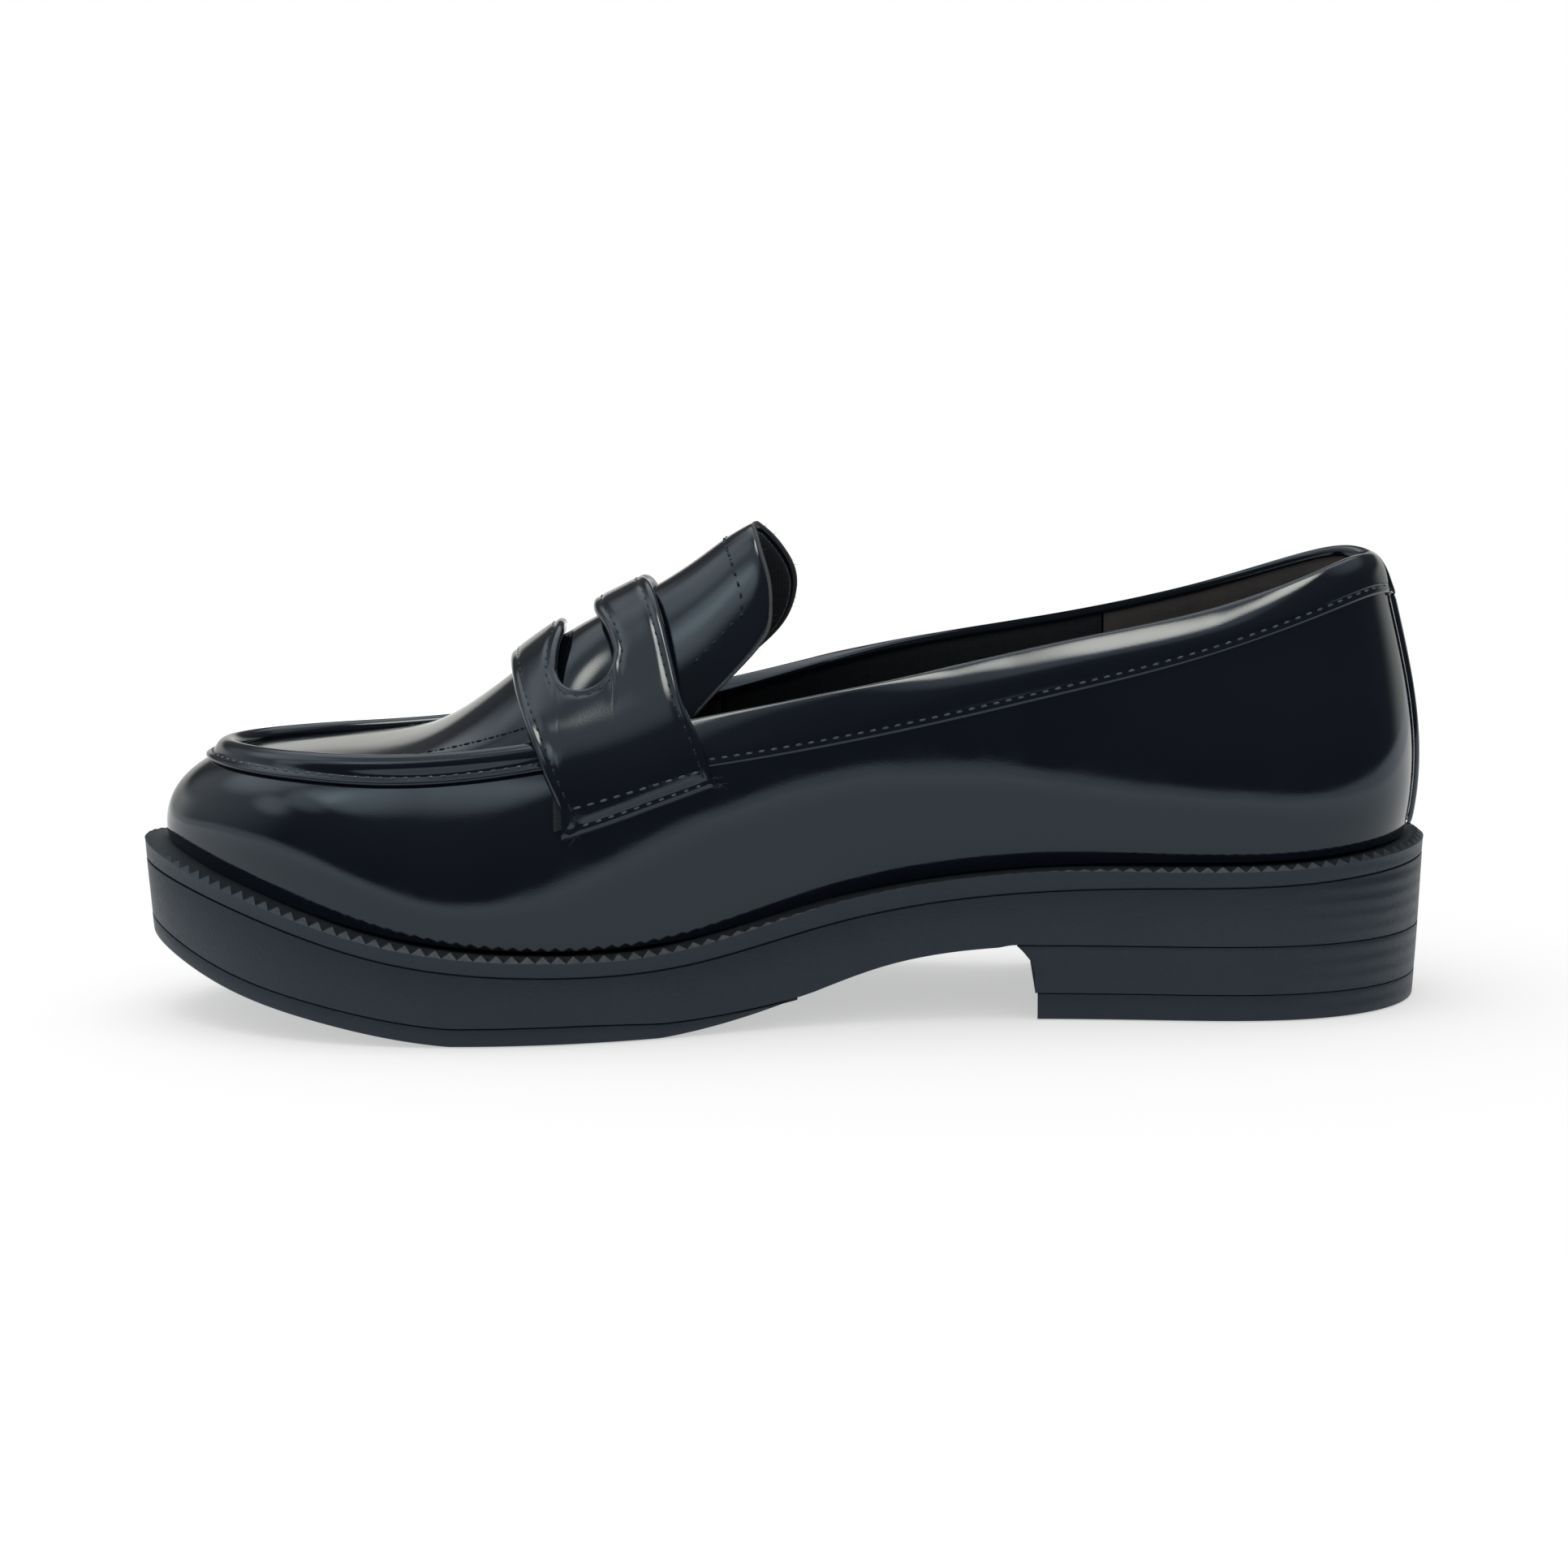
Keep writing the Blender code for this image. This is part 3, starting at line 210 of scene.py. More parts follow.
# ============================================================ curves
def closed_curve(points, samples):
    """Smooth closed curve through the points: a cubic spline that runs through their start."""
    p = np.asarray(points, float)
    count = len(p)
    step = np.linalg.norm(np.roll(p, -1, 0) - p, axis=1) ** 0.75    # tames uneven spacing
    matrix = np.zeros((count, count))
    right = np.zeros_like(p)
    for i in range(count):
        before, after = step[i - 1], step[i]
        matrix[i, i - 1] += before
        matrix[i, i] += 2 * (before + after)
        matrix[i, (i + 1) % count] += after
        right[i] = 6 * ((p[(i + 1) % count] - p[i]) / after - (p[i] - p[i - 1]) / before)
    bend_at = np.linalg.solve(matrix, right)
    u = np.linspace(0, count, samples, endpoint=False)
    i = np.floor(u).astype(int) % count
    j = (i + 1) % count
    t = (u - np.floor(u))[:, None]
    s = 1 - t
    h = step[i][:, None]
    return (p[i] * s + p[j] * t
            + h * h / 6 * ((s ** 3 - s) * bend_at[i] + (t ** 3 - t) * bend_at[j]))


def profile(knots):
    """Smooth function through (places, values): a cubic spline, held level outside them."""
    x, y = (np.asarray(v, float) for v in knots)
    count = len(x)
    h = np.diff(x)
    matrix = np.eye(count)
    right = np.zeros(count)
    for i in range(1, count - 1):
        matrix[i, i - 1:i + 2] = h[i - 1], 2 * (h[i - 1] + h[i]), h[i]
        right[i] = 6 * ((y[i + 1] - y[i]) / h[i] - (y[i] - y[i - 1]) / h[i - 1])
    bend_at = np.linalg.solve(matrix, right)

    def value(q):
        q = np.clip(np.asarray(q, float), x[0], x[-1])
        i = np.clip(np.searchsorted(x, q) - 1, 0, count - 2)
        t = (q - x[i]) / h[i]
        s = 1 - t
        return (y[i] * s + y[i + 1] * t
                + h[i] ** 2 / 6 * ((s ** 3 - s) * bend_at[i] + (t ** 3 - t) * bend_at[i + 1]))
    return value


def unit(vectors):
    """Vectors scaled to length one."""
    return vectors / np.maximum(np.linalg.norm(vectors, axis=-1, keepdims=True), 1e-9)


def sample(values, run, places):
    """Rows of values, known at distances run, read at other places."""
    return np.column_stack([np.interp(places, run, column) for column in values.T])


def run_along(path):
    """Distance of every point of a path from its start."""
    steps = np.linalg.norm(np.diff(path, axis=0), axis=1)
    return np.concatenate([[0], np.cumsum(steps)])


def resample(path, count, closed=False):
    """Points at equal steps along a path."""
    if closed:
        path = np.vstack([path, path[:1]])
    run = run_along(path)
    return sample(path, run, np.linspace(0, run[-1], count, endpoint=not closed))


def inset(curve, distance):
    """Plan curve moved inwards; the distance may vary along it."""
    along = np.roll(curve, -1, 0) - np.roll(curve, 1, 0)
    normal = unit(np.column_stack([-along[:, 1], along[:, 0]]))
    if np.sum((curve - curve.mean(0)) * normal) > 0:
        normal = -normal
    return curve + normal * np.broadcast_to(distance, len(curve))[:, None]


def halves(curve):
    """Medial and lateral halves of a closed curve, each from toe to heel."""
    curve = np.roll(curve, -int(np.argmax(curve[:, 0])), 0)
    toe = int(np.argmin(curve[:, 0]))
    one = curve[:toe + 1][::-1]
    two = np.vstack([curve[toe:], curve[:1]])
    return (one, two) if one[len(one) // 2, 1] < two[len(two) // 2, 1] else (two, one)


def at_x(half, x):
    """The other coordinates of a half curve at the given x."""
    return sample(half[:, 1:], half[:, 0], x)


def stations(first, last, count):
    """Places along the shoe, close together at both round ends."""
    return first + (last - first) * (1 - np.cos(np.pi * np.arange(count + 1) / count)) / 2


def smoothstep(value, start, end):
    s = np.clip((np.asarray(value, float) - start) / (end - start), 0, 1)
    return s * s * (3 - 2 * s)


def bell(value, middle, width):
    return np.exp(-((value - middle) / width) ** 2)


def rounded(distance, radius):
    """Half-round edge: 0 at the edge, 1 from radius inwards."""
    s = np.clip(distance / radius, 0, 1)
    return np.sqrt(np.maximum(1 - (1 - s) ** 2, 0))


shelf_height = profile(SHELF_HEIGHT)
ground_profile = profile(GROUND_HEIGHT)
crest_height = profile(CREST_HEIGHT)
band_height = profile(BAND_HEIGHT)
outline = closed_curve(SOLE_OUTLINE, CURVE_SAMPLES)
feather = inset(outline, profile(SHELF_WIDTH)(outline[:, 0]))
top_edge = closed_curve(TOP_EDGE, CURVE_SAMPLES)
medial_edge, lateral_edge = halves(top_edge)


def ground_height(x):
    return np.maximum(ground_profile(x), 0.0)


def tread_top(x):
    taper = np.sin(np.pi / 2 * np.clip((TREAD_END + TREAD_TIP - x) / TREAD_FEATHER, 0, 1))
    return ground_height(x) + TREAD_THICKNESS * taper


def midsole_bottom(x):
    heel = smoothstep(x, HEEL_BREAST + BREAST_RISE[0], HEEL_BREAST + BREAST_RISE[1])
    return tread_top(x) * (1 - heel) + HEEL_BLOCK_TOP * heel


# ============================================================ master surface of the wall
def wall_controls():
    """Bezier control points (ring, 4, 3) of the wall, round from toe, medial, heel, lateral."""
    x_low = stations(feather[:, 0].min(), feather[:, 0].max(), FINE)
    toe = np.clip((TOE_LEAN_START - x_low) / (TOE_LEAN_START - x_low[0]), 0, 1) ** 2
    heel = np.clip((x_low - HEEL_LEAN_START) / (x_low[-1] - HEEL_LEAN_START), 0, 1) ** 2
    x_high = (x_low + (top_edge[:, 0].min() - x_low[0]) * toe
              + (top_edge[:, 0].max() - x_low[-1]) * heel)
    sides = []
    for low_half, high_half, sign in zip(halves(feather), halves(top_edge), (-1, 1)):
        low = np.column_stack([x_low, at_x(low_half, x_low)[:, 0],
                               shelf_height(x_low) + MARGIN_LEVEL[0]])
        high = np.column_stack([x_high, at_x(high_half, x_high)])
        along = np.gradient(low[:, :2], axis=0)
        out = unit(np.column_stack([-along[:, 1], along[:, 0], np.zeros(len(along))]) * sign)
        out[0] = (-1, 0, 0)
        out[-1] = (1, 0, 0)
        rise = high[:, 2] - low[:, 2]
        pull_low = (low + out * profile(WALL_SWELL_LOW)(x_low)[:, None]
                    + UP * (profile(WALL_RISE_LOW)(x_low) * rise)[:, None])
        pull_high = (high + out * profile(WALL_SWELL_HIGH)(x_low)[:, None]
                     - UP * (profile(WALL_RISE_HIGH)(x_low) * rise)[:, None])
        sides.append(np.stack([low, pull_low, pull_high, high], axis=1))
    return x_low, np.concatenate([sides[0], sides[1][-2:0:-1]])


wall_x, controls = wall_controls()


def wall_at(ring, t):
    """Points of the wall's outer face; ring in 0..RING, t in 0 (welt) .. 1 (top edge)."""
    ring = np.asarray(ring, float) % RING
    i = np.floor(ring).astype(int)
    f = (ring - i)[:, None, None]
    c = controls[i] * (1 - f) + controls[(i + 1) % RING] * f
    t = np.asarray(t, float)[:, None]
    s = 1 - t
    return s ** 3 * c[:, 0] + 3 * s * s * t * c[:, 1] + 3 * s * t * t * c[:, 2] + t ** 3 * c[:, 3]


def wall_frame(ring, t):
    """Point, unit vector up the wall and unit vector into the shoe."""
    t = np.broadcast_to(t, ring.shape).astype(float)
    along = wall_at(ring + 1.0, t) - wall_at(ring - 1.0, t)
    up = wall_at(ring, np.minimum(t + 0.02, 1)) - wall_at(ring, np.maximum(t - 0.02, 0))
    return wall_at(ring, t), unit(up), unit(np.cross(up, along))


def wall_layer(ring, t, depth):
    """Wall points moved inwards by depth along the surface normal."""
    point, _, inward = wall_frame(ring, t)
    return point + inward * depth


def top_x(ring):
    """x of the top edge over the given sections."""
    return wall_at(ring, np.ones(len(ring)))[:, 0]


def ring_at(x, lateral=False):
    """Ring coordinate of the section whose foot is at x."""
    place = float(np.interp(x, wall_x, np.arange(len(wall_x))))
    return RING - place if lateral else place


def ring_places(first, last, step=1.0):
    """Ring places from first to last, on whole sections between them but not close to them."""
    inside = np.arange(math.ceil(first + 0.3 * step), last - 0.3 * step, step)
    return np.concatenate([[first], inside, [last]])


def below_edge(ring, drop):
    """Profile position of the point that lies drop below the top edge, along the wall."""
    fine_t = np.linspace(0, 1, EDGE_STEPS)
    points = wall_at(np.repeat(ring, EDGE_STEPS), np.tile(fine_t, len(ring)))
    drop = np.broadcast_to(drop, ring.shape)
    found = []
    for section, fall in zip(points.reshape(len(ring), EDGE_STEPS, 3), drop):
        run = run_along(section)
        found.append(np.interp(run[-1] - fall, run, fine_t))
    return np.array(found)


def near_edge(ring, drop, depth):
    """Points given by their distance below the top edge (above it if negative) and depth."""
    drop = np.broadcast_to(drop, ring.shape).astype(float)
    depth = np.broadcast_to(depth, ring.shape).astype(float)
    point, up, inward = wall_frame(ring, below_edge(ring, np.maximum(drop, 0)))
    return point + up * np.maximum(-drop, 0)[:, None] + inward * depth[:, None]


# ============================================================ master surface of the instep
def arch_at(x, u, side_inset=0.0, drop=0.0):
    """Points of the arch over the instep; u runs -1 (medial edge) .. 1 (lateral edge)."""
    x, u, side_inset, drop = np.broadcast_arrays(
        *(np.asarray(v, float) for v in (x, u, side_inset, drop)))
    left = at_x(medial_edge, x.ravel())
    right = at_x(lateral_edge, x.ravel())
    left = left + np.column_stack([side_inset.ravel(), -drop.ravel()])
    right = right - np.column_stack([side_inset.ravel(), drop.ravel()])
    w = u.ravel()[:, None]
    yz = (left * (1 - w) + right * (1 + w)) / 2
    rise = crest_height(x.ravel()) - (left[:, 1] + right[:, 1]) / 2
    yz[:, 1] += rise * (1 - np.abs(u.ravel()) ** ARCH_POWER)
    return np.column_stack([x.ravel(), yz]).reshape(x.shape + (3,))


def grid_normals(grid):
    """Unit normals of a grid, pointing away from the shoe's long axis."""
    normal = unit(np.cross(np.gradient(grid, axis=0), np.gradient(grid, axis=1)))
    outwards = grid - 45.0 * UP
    outwards[..., 0] = 0
    return normal * np.sign(np.sum(normal * outwards, axis=2))[..., None]


def tongue_frame(x, u):
    """Points of the tongue's face and its outward normals."""
    surface = arch_at(np.stack([x - 1, x, x + 1]), u[None, :], TONGUE_INSET, TONGUE_DROP)
    return surface[1], grid_normals(surface)[1]


# ============================================================ meshes
def to_frame(points):
    """Design millimetres to the frame's metres."""
    return np.asarray(points, float) * MM + np.array([CENTRE_X, 0.0, 0.0])


def add_piece(name, points, faces, materials, nodes=(), slot="box_leather", body="shoe",
              subdivide=0, sharp=None, face_materials=None):
    """One mesh piece of the visual model; body None leaves it unparented."""
    mesh = bpy.data.meshes.new(name)
    mesh.from_pydata(to_frame(points).tolist(), [], [list(map(int, f)) for f in faces])
    for material in materials:
        mesh.materials.append(material)
    if face_materials is not None:
        mesh.polygons.foreach_set("material_index", np.asarray(face_materials, np.int32))
    bm = bmesh.new()
    bm.from_mesh(mesh)
    bmesh.ops.remove_doubles(bm, verts=bm.verts, dist=MERGE_DISTANCE)
    bmesh.ops.dissolve_degenerate(bm, edges=bm.edges, dist=MERGE_DISTANCE / 2)
    bmesh.ops.recalc_face_normals(bm, faces=bm.faces)
    bm.to_mesh(mesh)
    bm.free()
    mesh.shade_smooth()
    if sharp is not None:
        mesh.set_sharp_from_angle(angle=math.radians(sharp))
    obj = bpy.data.objects.new(name, mesh)
    bpy.context.scene.collection.objects.link(obj)
    if subdivide:
        smooth = obj.modifiers.new("smooth", "SUBSURF")
        smooth.levels = subdivide
        smooth.render_levels = subdivide
    if body:
        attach(obj, body)
    if nodes:
        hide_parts(*nodes)
    return obj


def sheet_faces(rows, columns, exists):
    """Faces of a closed sheet between two grids; returns faces and a rim flag for each."""
    cells = {(i, j) for i in range(rows - 1) for j in range(columns - 1)
             if exists is None or exists(i, j)}

    def corner(i, j, side):
        return i * columns + j + side * rows * columns

    faces = []
    rim = []
    for i, j in sorted(cells):
        a, b, c, d = (i, j), (i + 1, j), (i + 1, j + 1), (i, j + 1)
        faces.append([corner(*q, 0) for q in (a, b, c, d)])
        faces.append([corner(*q, 1) for q in (d, c, b, a)])
        rim += [0, 0]
        for p, q, neighbour in ((a, b, (i, j - 1)), (b, c, (i + 1, j)),
                                (c, d, (i, j + 1)), (d, a, (i - 1, j))):
            if neighbour not in cells:
                faces.append([corner(*q, 0), corner(*p, 0), corner(*p, 1), corner(*q, 1)])
                rim.append(1)
    return faces, rim


def add_sheet(name, outer, inner, materials, exists=None, **rest):
    """Closed sheet between two grids (rows, columns, 3); a second material covers its rim."""
    rows, columns = outer.shape[:2]
    faces, rim = sheet_faces(rows, columns, exists)
    points = np.concatenate([outer.reshape(-1, 3), inner.reshape(-1, 3)])
    used = np.unique(np.concatenate([np.array(f) for f in faces]))
    index = np.full(len(points), -1)
    index[used] = np.arange(len(used))
    if len(materials) > 1:
        rest["face_materials"] = rim
    return add_piece(name, points[used], [index[f] for f in faces], materials, **rest)


def tube_faces(rings, sides, closed=False, base=0):
    """Faces of a tube of (rings, sides) points, capped unless it is closed lengthways."""
    faces = []
    for r in range(rings if closed else rings - 1):
        here, ahead = base + r * sides, base + (r + 1) % rings * sides
        faces += [[here + k, ahead + k, ahead + (k + 1) % sides, here + (k + 1) % sides]
                  for k in range(sides)]
    if not closed:
        faces.append(list(range(base, base + sides))[::-1])
        faces.append(list(range(base + (rings - 1) * sides, base + rings * sides)))
    return faces


def add_loft(name, loops, materials, closed=False, **rest):
    """Tube body from (sections, points, 3)."""
    return add_piece(name, loops.reshape(-1, 3), tube_faces(*loops.shape[:2], closed), materials,
                     **rest)


def round_tube(line, radius, one, two, sides):
    """Points (rings, sides, 3) of a tube; vectors one and two span its round section."""
    angle = (np.arange(sides) * 2 * np.pi / sides)[:, None]
    one, two = (np.broadcast_to(v, line.shape)[:, None] for v in (one, two))
    radius = np.broadcast_to(radius, len(line))[:, None, None]
    return line[:, None] + radius * (one * np.cos(angle) + two * np.sin(angle))


def join_tubes(tubes):
    """Points and faces of many separate capped tubes."""
    points = []
    faces = []
    for tube in tubes:
        faces += tube_faces(*tube.shape[:2], base=len(points))
        points += list(tube.reshape(-1, 3))
    return points, faces


def distance_to(points, boundary):
    """Distance from every point of a grid to a dense boundary."""
    flat_points = points.reshape(-1, 3)
    result = np.full(len(flat_points), np.inf)
    for start in range(0, len(boundary), 200):
        chunk = boundary[start:start + 200]
        gaps = np.linalg.norm(flat_points[:, None] - chunk[None], axis=2)
        result = np.minimum(result, gaps.min(axis=1))
    return result.reshape(points.shape[:-1])


# ============================================================ materials
GLOSS_TINT = (0.74, 0.9, 1.0)   # cool cast of the black finish's reflections


def add_node(tree, kind, inputs=()):
    """Shader node; inputs maps its sockets to values or to the outputs that feed them."""
    node = tree.nodes.new("ShaderNode" + kind)
    set_inputs(tree, node, inputs)
    return node


def set_inputs(tree, node, inputs):
    for socket, value in dict(inputs).items():
        if isinstance(value, bpy.types.NodeSocket):
            tree.links.new(value, node.inputs[socket])
        else:
            node.inputs[socket].default_value = value


def math_node(tree, operation, one, two):
    node = add_node(tree, "Math", {0: one, 1: two})
    node.operation = operation
    return node.outputs["Value"]


def vector_node(tree, operation, inputs, output="Vector"):
    node = tree.nodes.new("ShaderNodeVectorMath")
    node.operation = operation
    set_inputs(tree, node, inputs)
    return node.outputs[output]


def new_material(name, colour, roughness, **inputs):
    material = bpy.data.materials.new(name)
    material.use_nodes = True
    tree = material.node_tree
    shader = tree.nodes["Principled BSDF"]
    set_inputs(tree, shader, {"Base Color": (*colour, 1.0), "Roughness": roughness,
                              "Specular Tint": (*GLOSS_TINT, 1.0), **inputs})
    return material, tree, shader, add_node(tree, "TexCoord").outputs["Object"]


def noise(tree, place, scale, detail=2.0, roughness=0.5):
    node = add_node(tree, "TexNoise", {"Vector": place, "Scale": scale, "Detail": detail,
                                       "Roughness": roughness})
    return node.outputs["Fac"]


def waves(tree, place, direction, scale, distortion):
    node = add_node(tree, "TexWave", {"Vector": place, "Scale": scale,
                                      "Distortion": distortion})
    node.bands_direction = direction
    return node.outputs["Fac"]


def span(tree, value, low, high, from_low=0.0, from_high=1.0):
    node = add_node(tree, "MapRange", {"Value": value, "To Min": low, "To Max": high,
                                       "From Min": from_low, "From Max": from_high})
    return node.outputs["Result"]


def mottle(tree, shader, factor, one, two):
    """Base colour between two tones."""
    node = tree.nodes.new("ShaderNodeMix")
    node.data_type = "RGBA"
    set_inputs(tree, node, {"A": (*one, 1.0), "B": (*two, 1.0), "Factor": factor})
    tree.links.new(node.outputs["Result"], shader.inputs["Base Color"])


def bump(tree, shader, height, strength, distance, below=None):
    node = add_node(tree, "Bump", {"Height": height, "Strength": strength,
                                   "Distance": distance})
    if below is not None:
        tree.links.new(below, node.inputs["Normal"])
    tree.links.new(node.outputs["Normal"], shader.inputs["Normal"])
    return node.outputs["Normal"]


def polished_leather():
    """Navy-black brush-off leather: glossy finish over a fine, nearly closed grain."""
    material, tree, shader, place = new_material("box_leather", (0.006, 0.008, 0.014), 0.10)
    mottle(tree, shader, noise(tree, place, 45.0, 3.0), (0.0025, 0.0036, 0.0072),
           (0.0045, 0.006, 0.0105))
    tree.links.new(span(tree, noise(tree, place, 160.0, 4.0), 0.06, 0.11, 0.35, 0.65),
                   shader.inputs["Roughness"])
    wave = bump(tree, shader, noise(tree, place, 55.0, 1.0), 0.10, 0.0015)
    bump(tree, shader, noise(tree, place, 2600.0, 3.0, 0.6), 0.035, 0.0002, wave)
    return material


def raw_leather():
    """Cut edge of the leather: fibrous and a little paler than the dyed face."""
    material, tree, shader, place = new_material("raw_edge", (0.05, 0.05, 0.055), 0.7)
    fibres = noise(tree, place, 3000.0, 4.0, 0.7)
    mottle(tree, shader, fibres, (0.015, 0.016, 0.02), (0.10, 0.10, 0.11))
    bump(tree, shader, fibres, 0.6, 0.0003)
    return material


def moulded_rubber():
    """Satin sole rubber with a fine moulded grain, and level lines round the heel's back."""
    material, tree, shader, place = new_material("sole_rubber", (0.02, 0.024, 0.03), 0.42,
                                                 **{"Specular IOR Level": 0.32})
    mottle(tree, shader, noise(tree, place, 70.0, 4.0), (0.012, 0.017, 0.024),
           (0.017, 0.023, 0.032))
    tree.links.new(span(tree, noise(tree, place, 900.0, 3.0), 0.42, 0.5, 0.3, 0.7),
                   shader.inputs["Roughness"])
    grain = bump(tree, shader, noise(tree, place, 1500.0, 3.0, 0.7), 0.3, 0.0004)
    lengthways = add_node(tree, "SeparateXYZ", {"Vector": place}).outputs["X"]
    lines = math_node(tree, "MULTIPLY", waves(tree, place, "Z", 95.0, 0.5),
                      span(tree, lengthways, 0.0, 1.0, 0.105, 0.128))
    bump(tree, shader, lines, 0.35, 0.0006, grain)
    return material


def woven_lining():
    """Dark lining textile: crossed threads."""
    material, tree, shader, place = new_material("lining_textile", (0.010, 0.011, 0.014), 0.85,
                                                 **{"Sheen Weight": 0.15})
    weave = waves(tree, place, "X", 420.0, 0.6)
    for direction in ("Y", "Z"):
        weave = math_node(tree, "ADD", weave, waves(tree, place, direction, 420.0, 0.6))
    mottle(tree, shader, noise(tree, place, 500.0), (0.006, 0.007, 0.009),
           (0.014, 0.015, 0.018))
    bump(tree, shader, weave, 0.25, 0.0002)
    return material


def napped_suede():
    """Heel grip: dark grey-brown, napped."""
    material, tree, shader, place = new_material("heel_suede", (0.06, 0.055, 0.052), 0.95,
                                                 **{"Sheen Weight": 0.3})
    mottle(tree, shader, noise(tree, place, 140.0, 4.0), (0.045, 0.040, 0.038),
           (0.100, 0.090, 0.084))
    bump(tree, shader, noise(tree, place, 1800.0, 5.0, 0.7), 0.5, 0.0004)
    return material


def sewing_thread(name, colour, specular):
    """Twisted thread."""
    material, tree, shader, place = new_material(name, colour, 0.35,
                                                 **{"Specular IOR Level": specular})
    tree.links.new(span(tree, noise(tree, place, 4000.0), 0.25, 0.45),
                   shader.inputs["Roughness"])
    bump(tree, shader, noise(tree, place, 5200.0, 1.0), 0.4, 0.0002)
    return material


def speckled(name, dark, light, scale, roughness, metallic=0.0):
    """Plain matter mottled between two tones, such as board, foam, cork or steel."""
    material, tree, shader, place = new_material(name, dark, roughness, Metallic=metallic)
    cloud = noise(tree, place, scale, 6.0, 0.65)
    mottle(tree, shader, cloud, dark, light)
    bump(tree, shader, cloud, 0.3, 0.0004)
    return material


leather = polished_leather()
raw_edge = raw_leather()
rubber = moulded_rubber()
# painted shade: the welt's shelf gets a darker copy of the sole rubber for the shadow cast by the
# upper
shaded_shelf_rubber = speckled("shaded_shelf_rubber", (0.003, 0.004, 0.006), (0.006, 0.008, 0.011), 900.0, 0.6)
# painted shade: near-black discs stand in for the shade inside the needle holes
hole_shade = speckled("hole_shade_disc", (0.0015, 0.0015, 0.002), (0.003, 0.003, 0.004), 900.0, 0.9)
lining = woven_lining()
suede = napped_suede()
# painted light and shade: one thread in two copies, a lighter glossier one for rows that look lit
# and a darker duller one for rows that look shaded
thread = sewing_thread("blue_black_thread", (0.02, 0.023, 0.03), 0.9)
shaded_thread_copy = sewing_thread("thread_shaded_copy", (0.005, 0.006, 0.008), 0.3)


# ============================================================ sewing
STITCH_PITCH = 2.65
STITCH_RINGS = 5
STITCH_SIDES = 6
STITCH_FLATNESS = 1.15          # width over height of the thread
HOLE_RADIUS = 0.5
HOLE_LEVELS = (-0.06, 0.05)     # foot and face of the disc painted dark as the shade in a needle hole
HOLE_SIDES = 8
FIBRE_RADIUS = 0.07


def stitch(path, run, normals, middle, length, thickness, sunk):
    """Thread of one stitch: thick in the middle, and diving into the leather at both ends."""
    s = np.linspace(-1, 1, STITCH_RINGS)
    places = middle + s / 2 * length
    line = sample(path, run, places)
    out = unit(sample(normals, run, places))
    across = np.cross(unit(np.gradient(line, axis=0)), out)
    height = thickness * (0.32 - 0.75 * s ** 2) - sunk
    return round_tube(line + out * height[:, None], thickness / 2 * np.sqrt(1 - (0.9 * s) ** 2),
                      STITCH_FLATNESS * across, out, STITCH_SIDES)


def hole_shade_disc(path, run, normals, place, sunk):
    """Flat disc painted dark as the shade in the needle hole between two stitches."""
    middle, ahead = sample(path, run, [place, place + 0.5])
    out = sample(normals, run, [place])
    along = unit(ahead - middle)
    levels = np.array(HOLE_LEVELS)[:, None] - sunk
    return round_tube(middle + out * levels, HOLE_RADIUS * np.array([1.0, 0.8]), along,
                      np.cross(along, out[0]), HOLE_SIDES)


def add_stitches(name, path, normals, length=2.0, thickness=0.5, body="shoe", sunk=0.05,
                 material=thread):
    """Row of lockstitches along a path on a surface."""
    run = run_along(path)
    count = max(1, int(run[-1] // STITCH_PITCH))
    middles = (np.arange(count) + 0.5) * run[-1] / count
    places = np.append(middles - STITCH_PITCH / 2, middles[-1] + STITCH_PITCH / 2)
    threads = [stitch(path, run, normals, m, length, thickness, sunk) for m in middles]
    hole_shade_discs = [hole_shade_disc(path, run, normals, p, sunk) for p in places]
    points, faces = join_tubes(threads + hole_shade_discs)
    sewn = len(join_tubes(threads)[1])
    return add_piece(name, points, faces, [material, hole_shade], body=body,
                     face_materials=[0] * sewn + [1] * (len(faces) - sewn))


def add_fibres(name, roots, outwards, seed, length=(0.6, 2.2), body="shoe"):
    """Frayed fibres standing out from cut leather."""
    random = np.random.default_rng(seed)
    s = np.linspace(0, 1, 5)[:, None]
    fibres = []
    for root, out in zip(roots, outwards):
        size = random.uniform(*length)
        lean = unit(out + random.normal(0, 0.5, 3))
        curl = random.normal(0, 0.5, 3)
        across = unit(np.cross(lean, (0.2, 0.5, 0.8)))
        line = root + size * (lean * (s - 0.08) + curl * s * s * 0.6)
        fibres.append(round_tube(line, FIBRE_RADIUS * (1 - 0.75 * s[:, 0]), across,
                                 np.cross(lean, across), 3))
    return add_piece(name, *join_tubes(fibres), [raw_edge], body=body)


def add_cord(name, path, radius, materials, **rest):
    """Round cord along a path."""
    along = unit(np.gradient(path, axis=0))
    side = unit(np.cross(along, (0.3, 1.0, 0.2)))
    return add_loft(name, round_tube(path, radius, side, np.cross(along, side), 6), materials,
                    **rest)


# ============================================================ sole
TOOTH_COUNT = 199               # pyramids round the welt, 3.46 mm apart
TOOTH_HEIGHT = 1.25
TOOTH_BEVEL = 1.5
TOOTH_SHARE = ([-139, -125, -30, 8, 55, 80, 139], [0.2, 1.0, 1.0, 0.1, 0.1, 0.75, 1.0])
GUTTER_INSETS = (2.475, 5.0, 7.0)
WELT_EDGE = 0.25


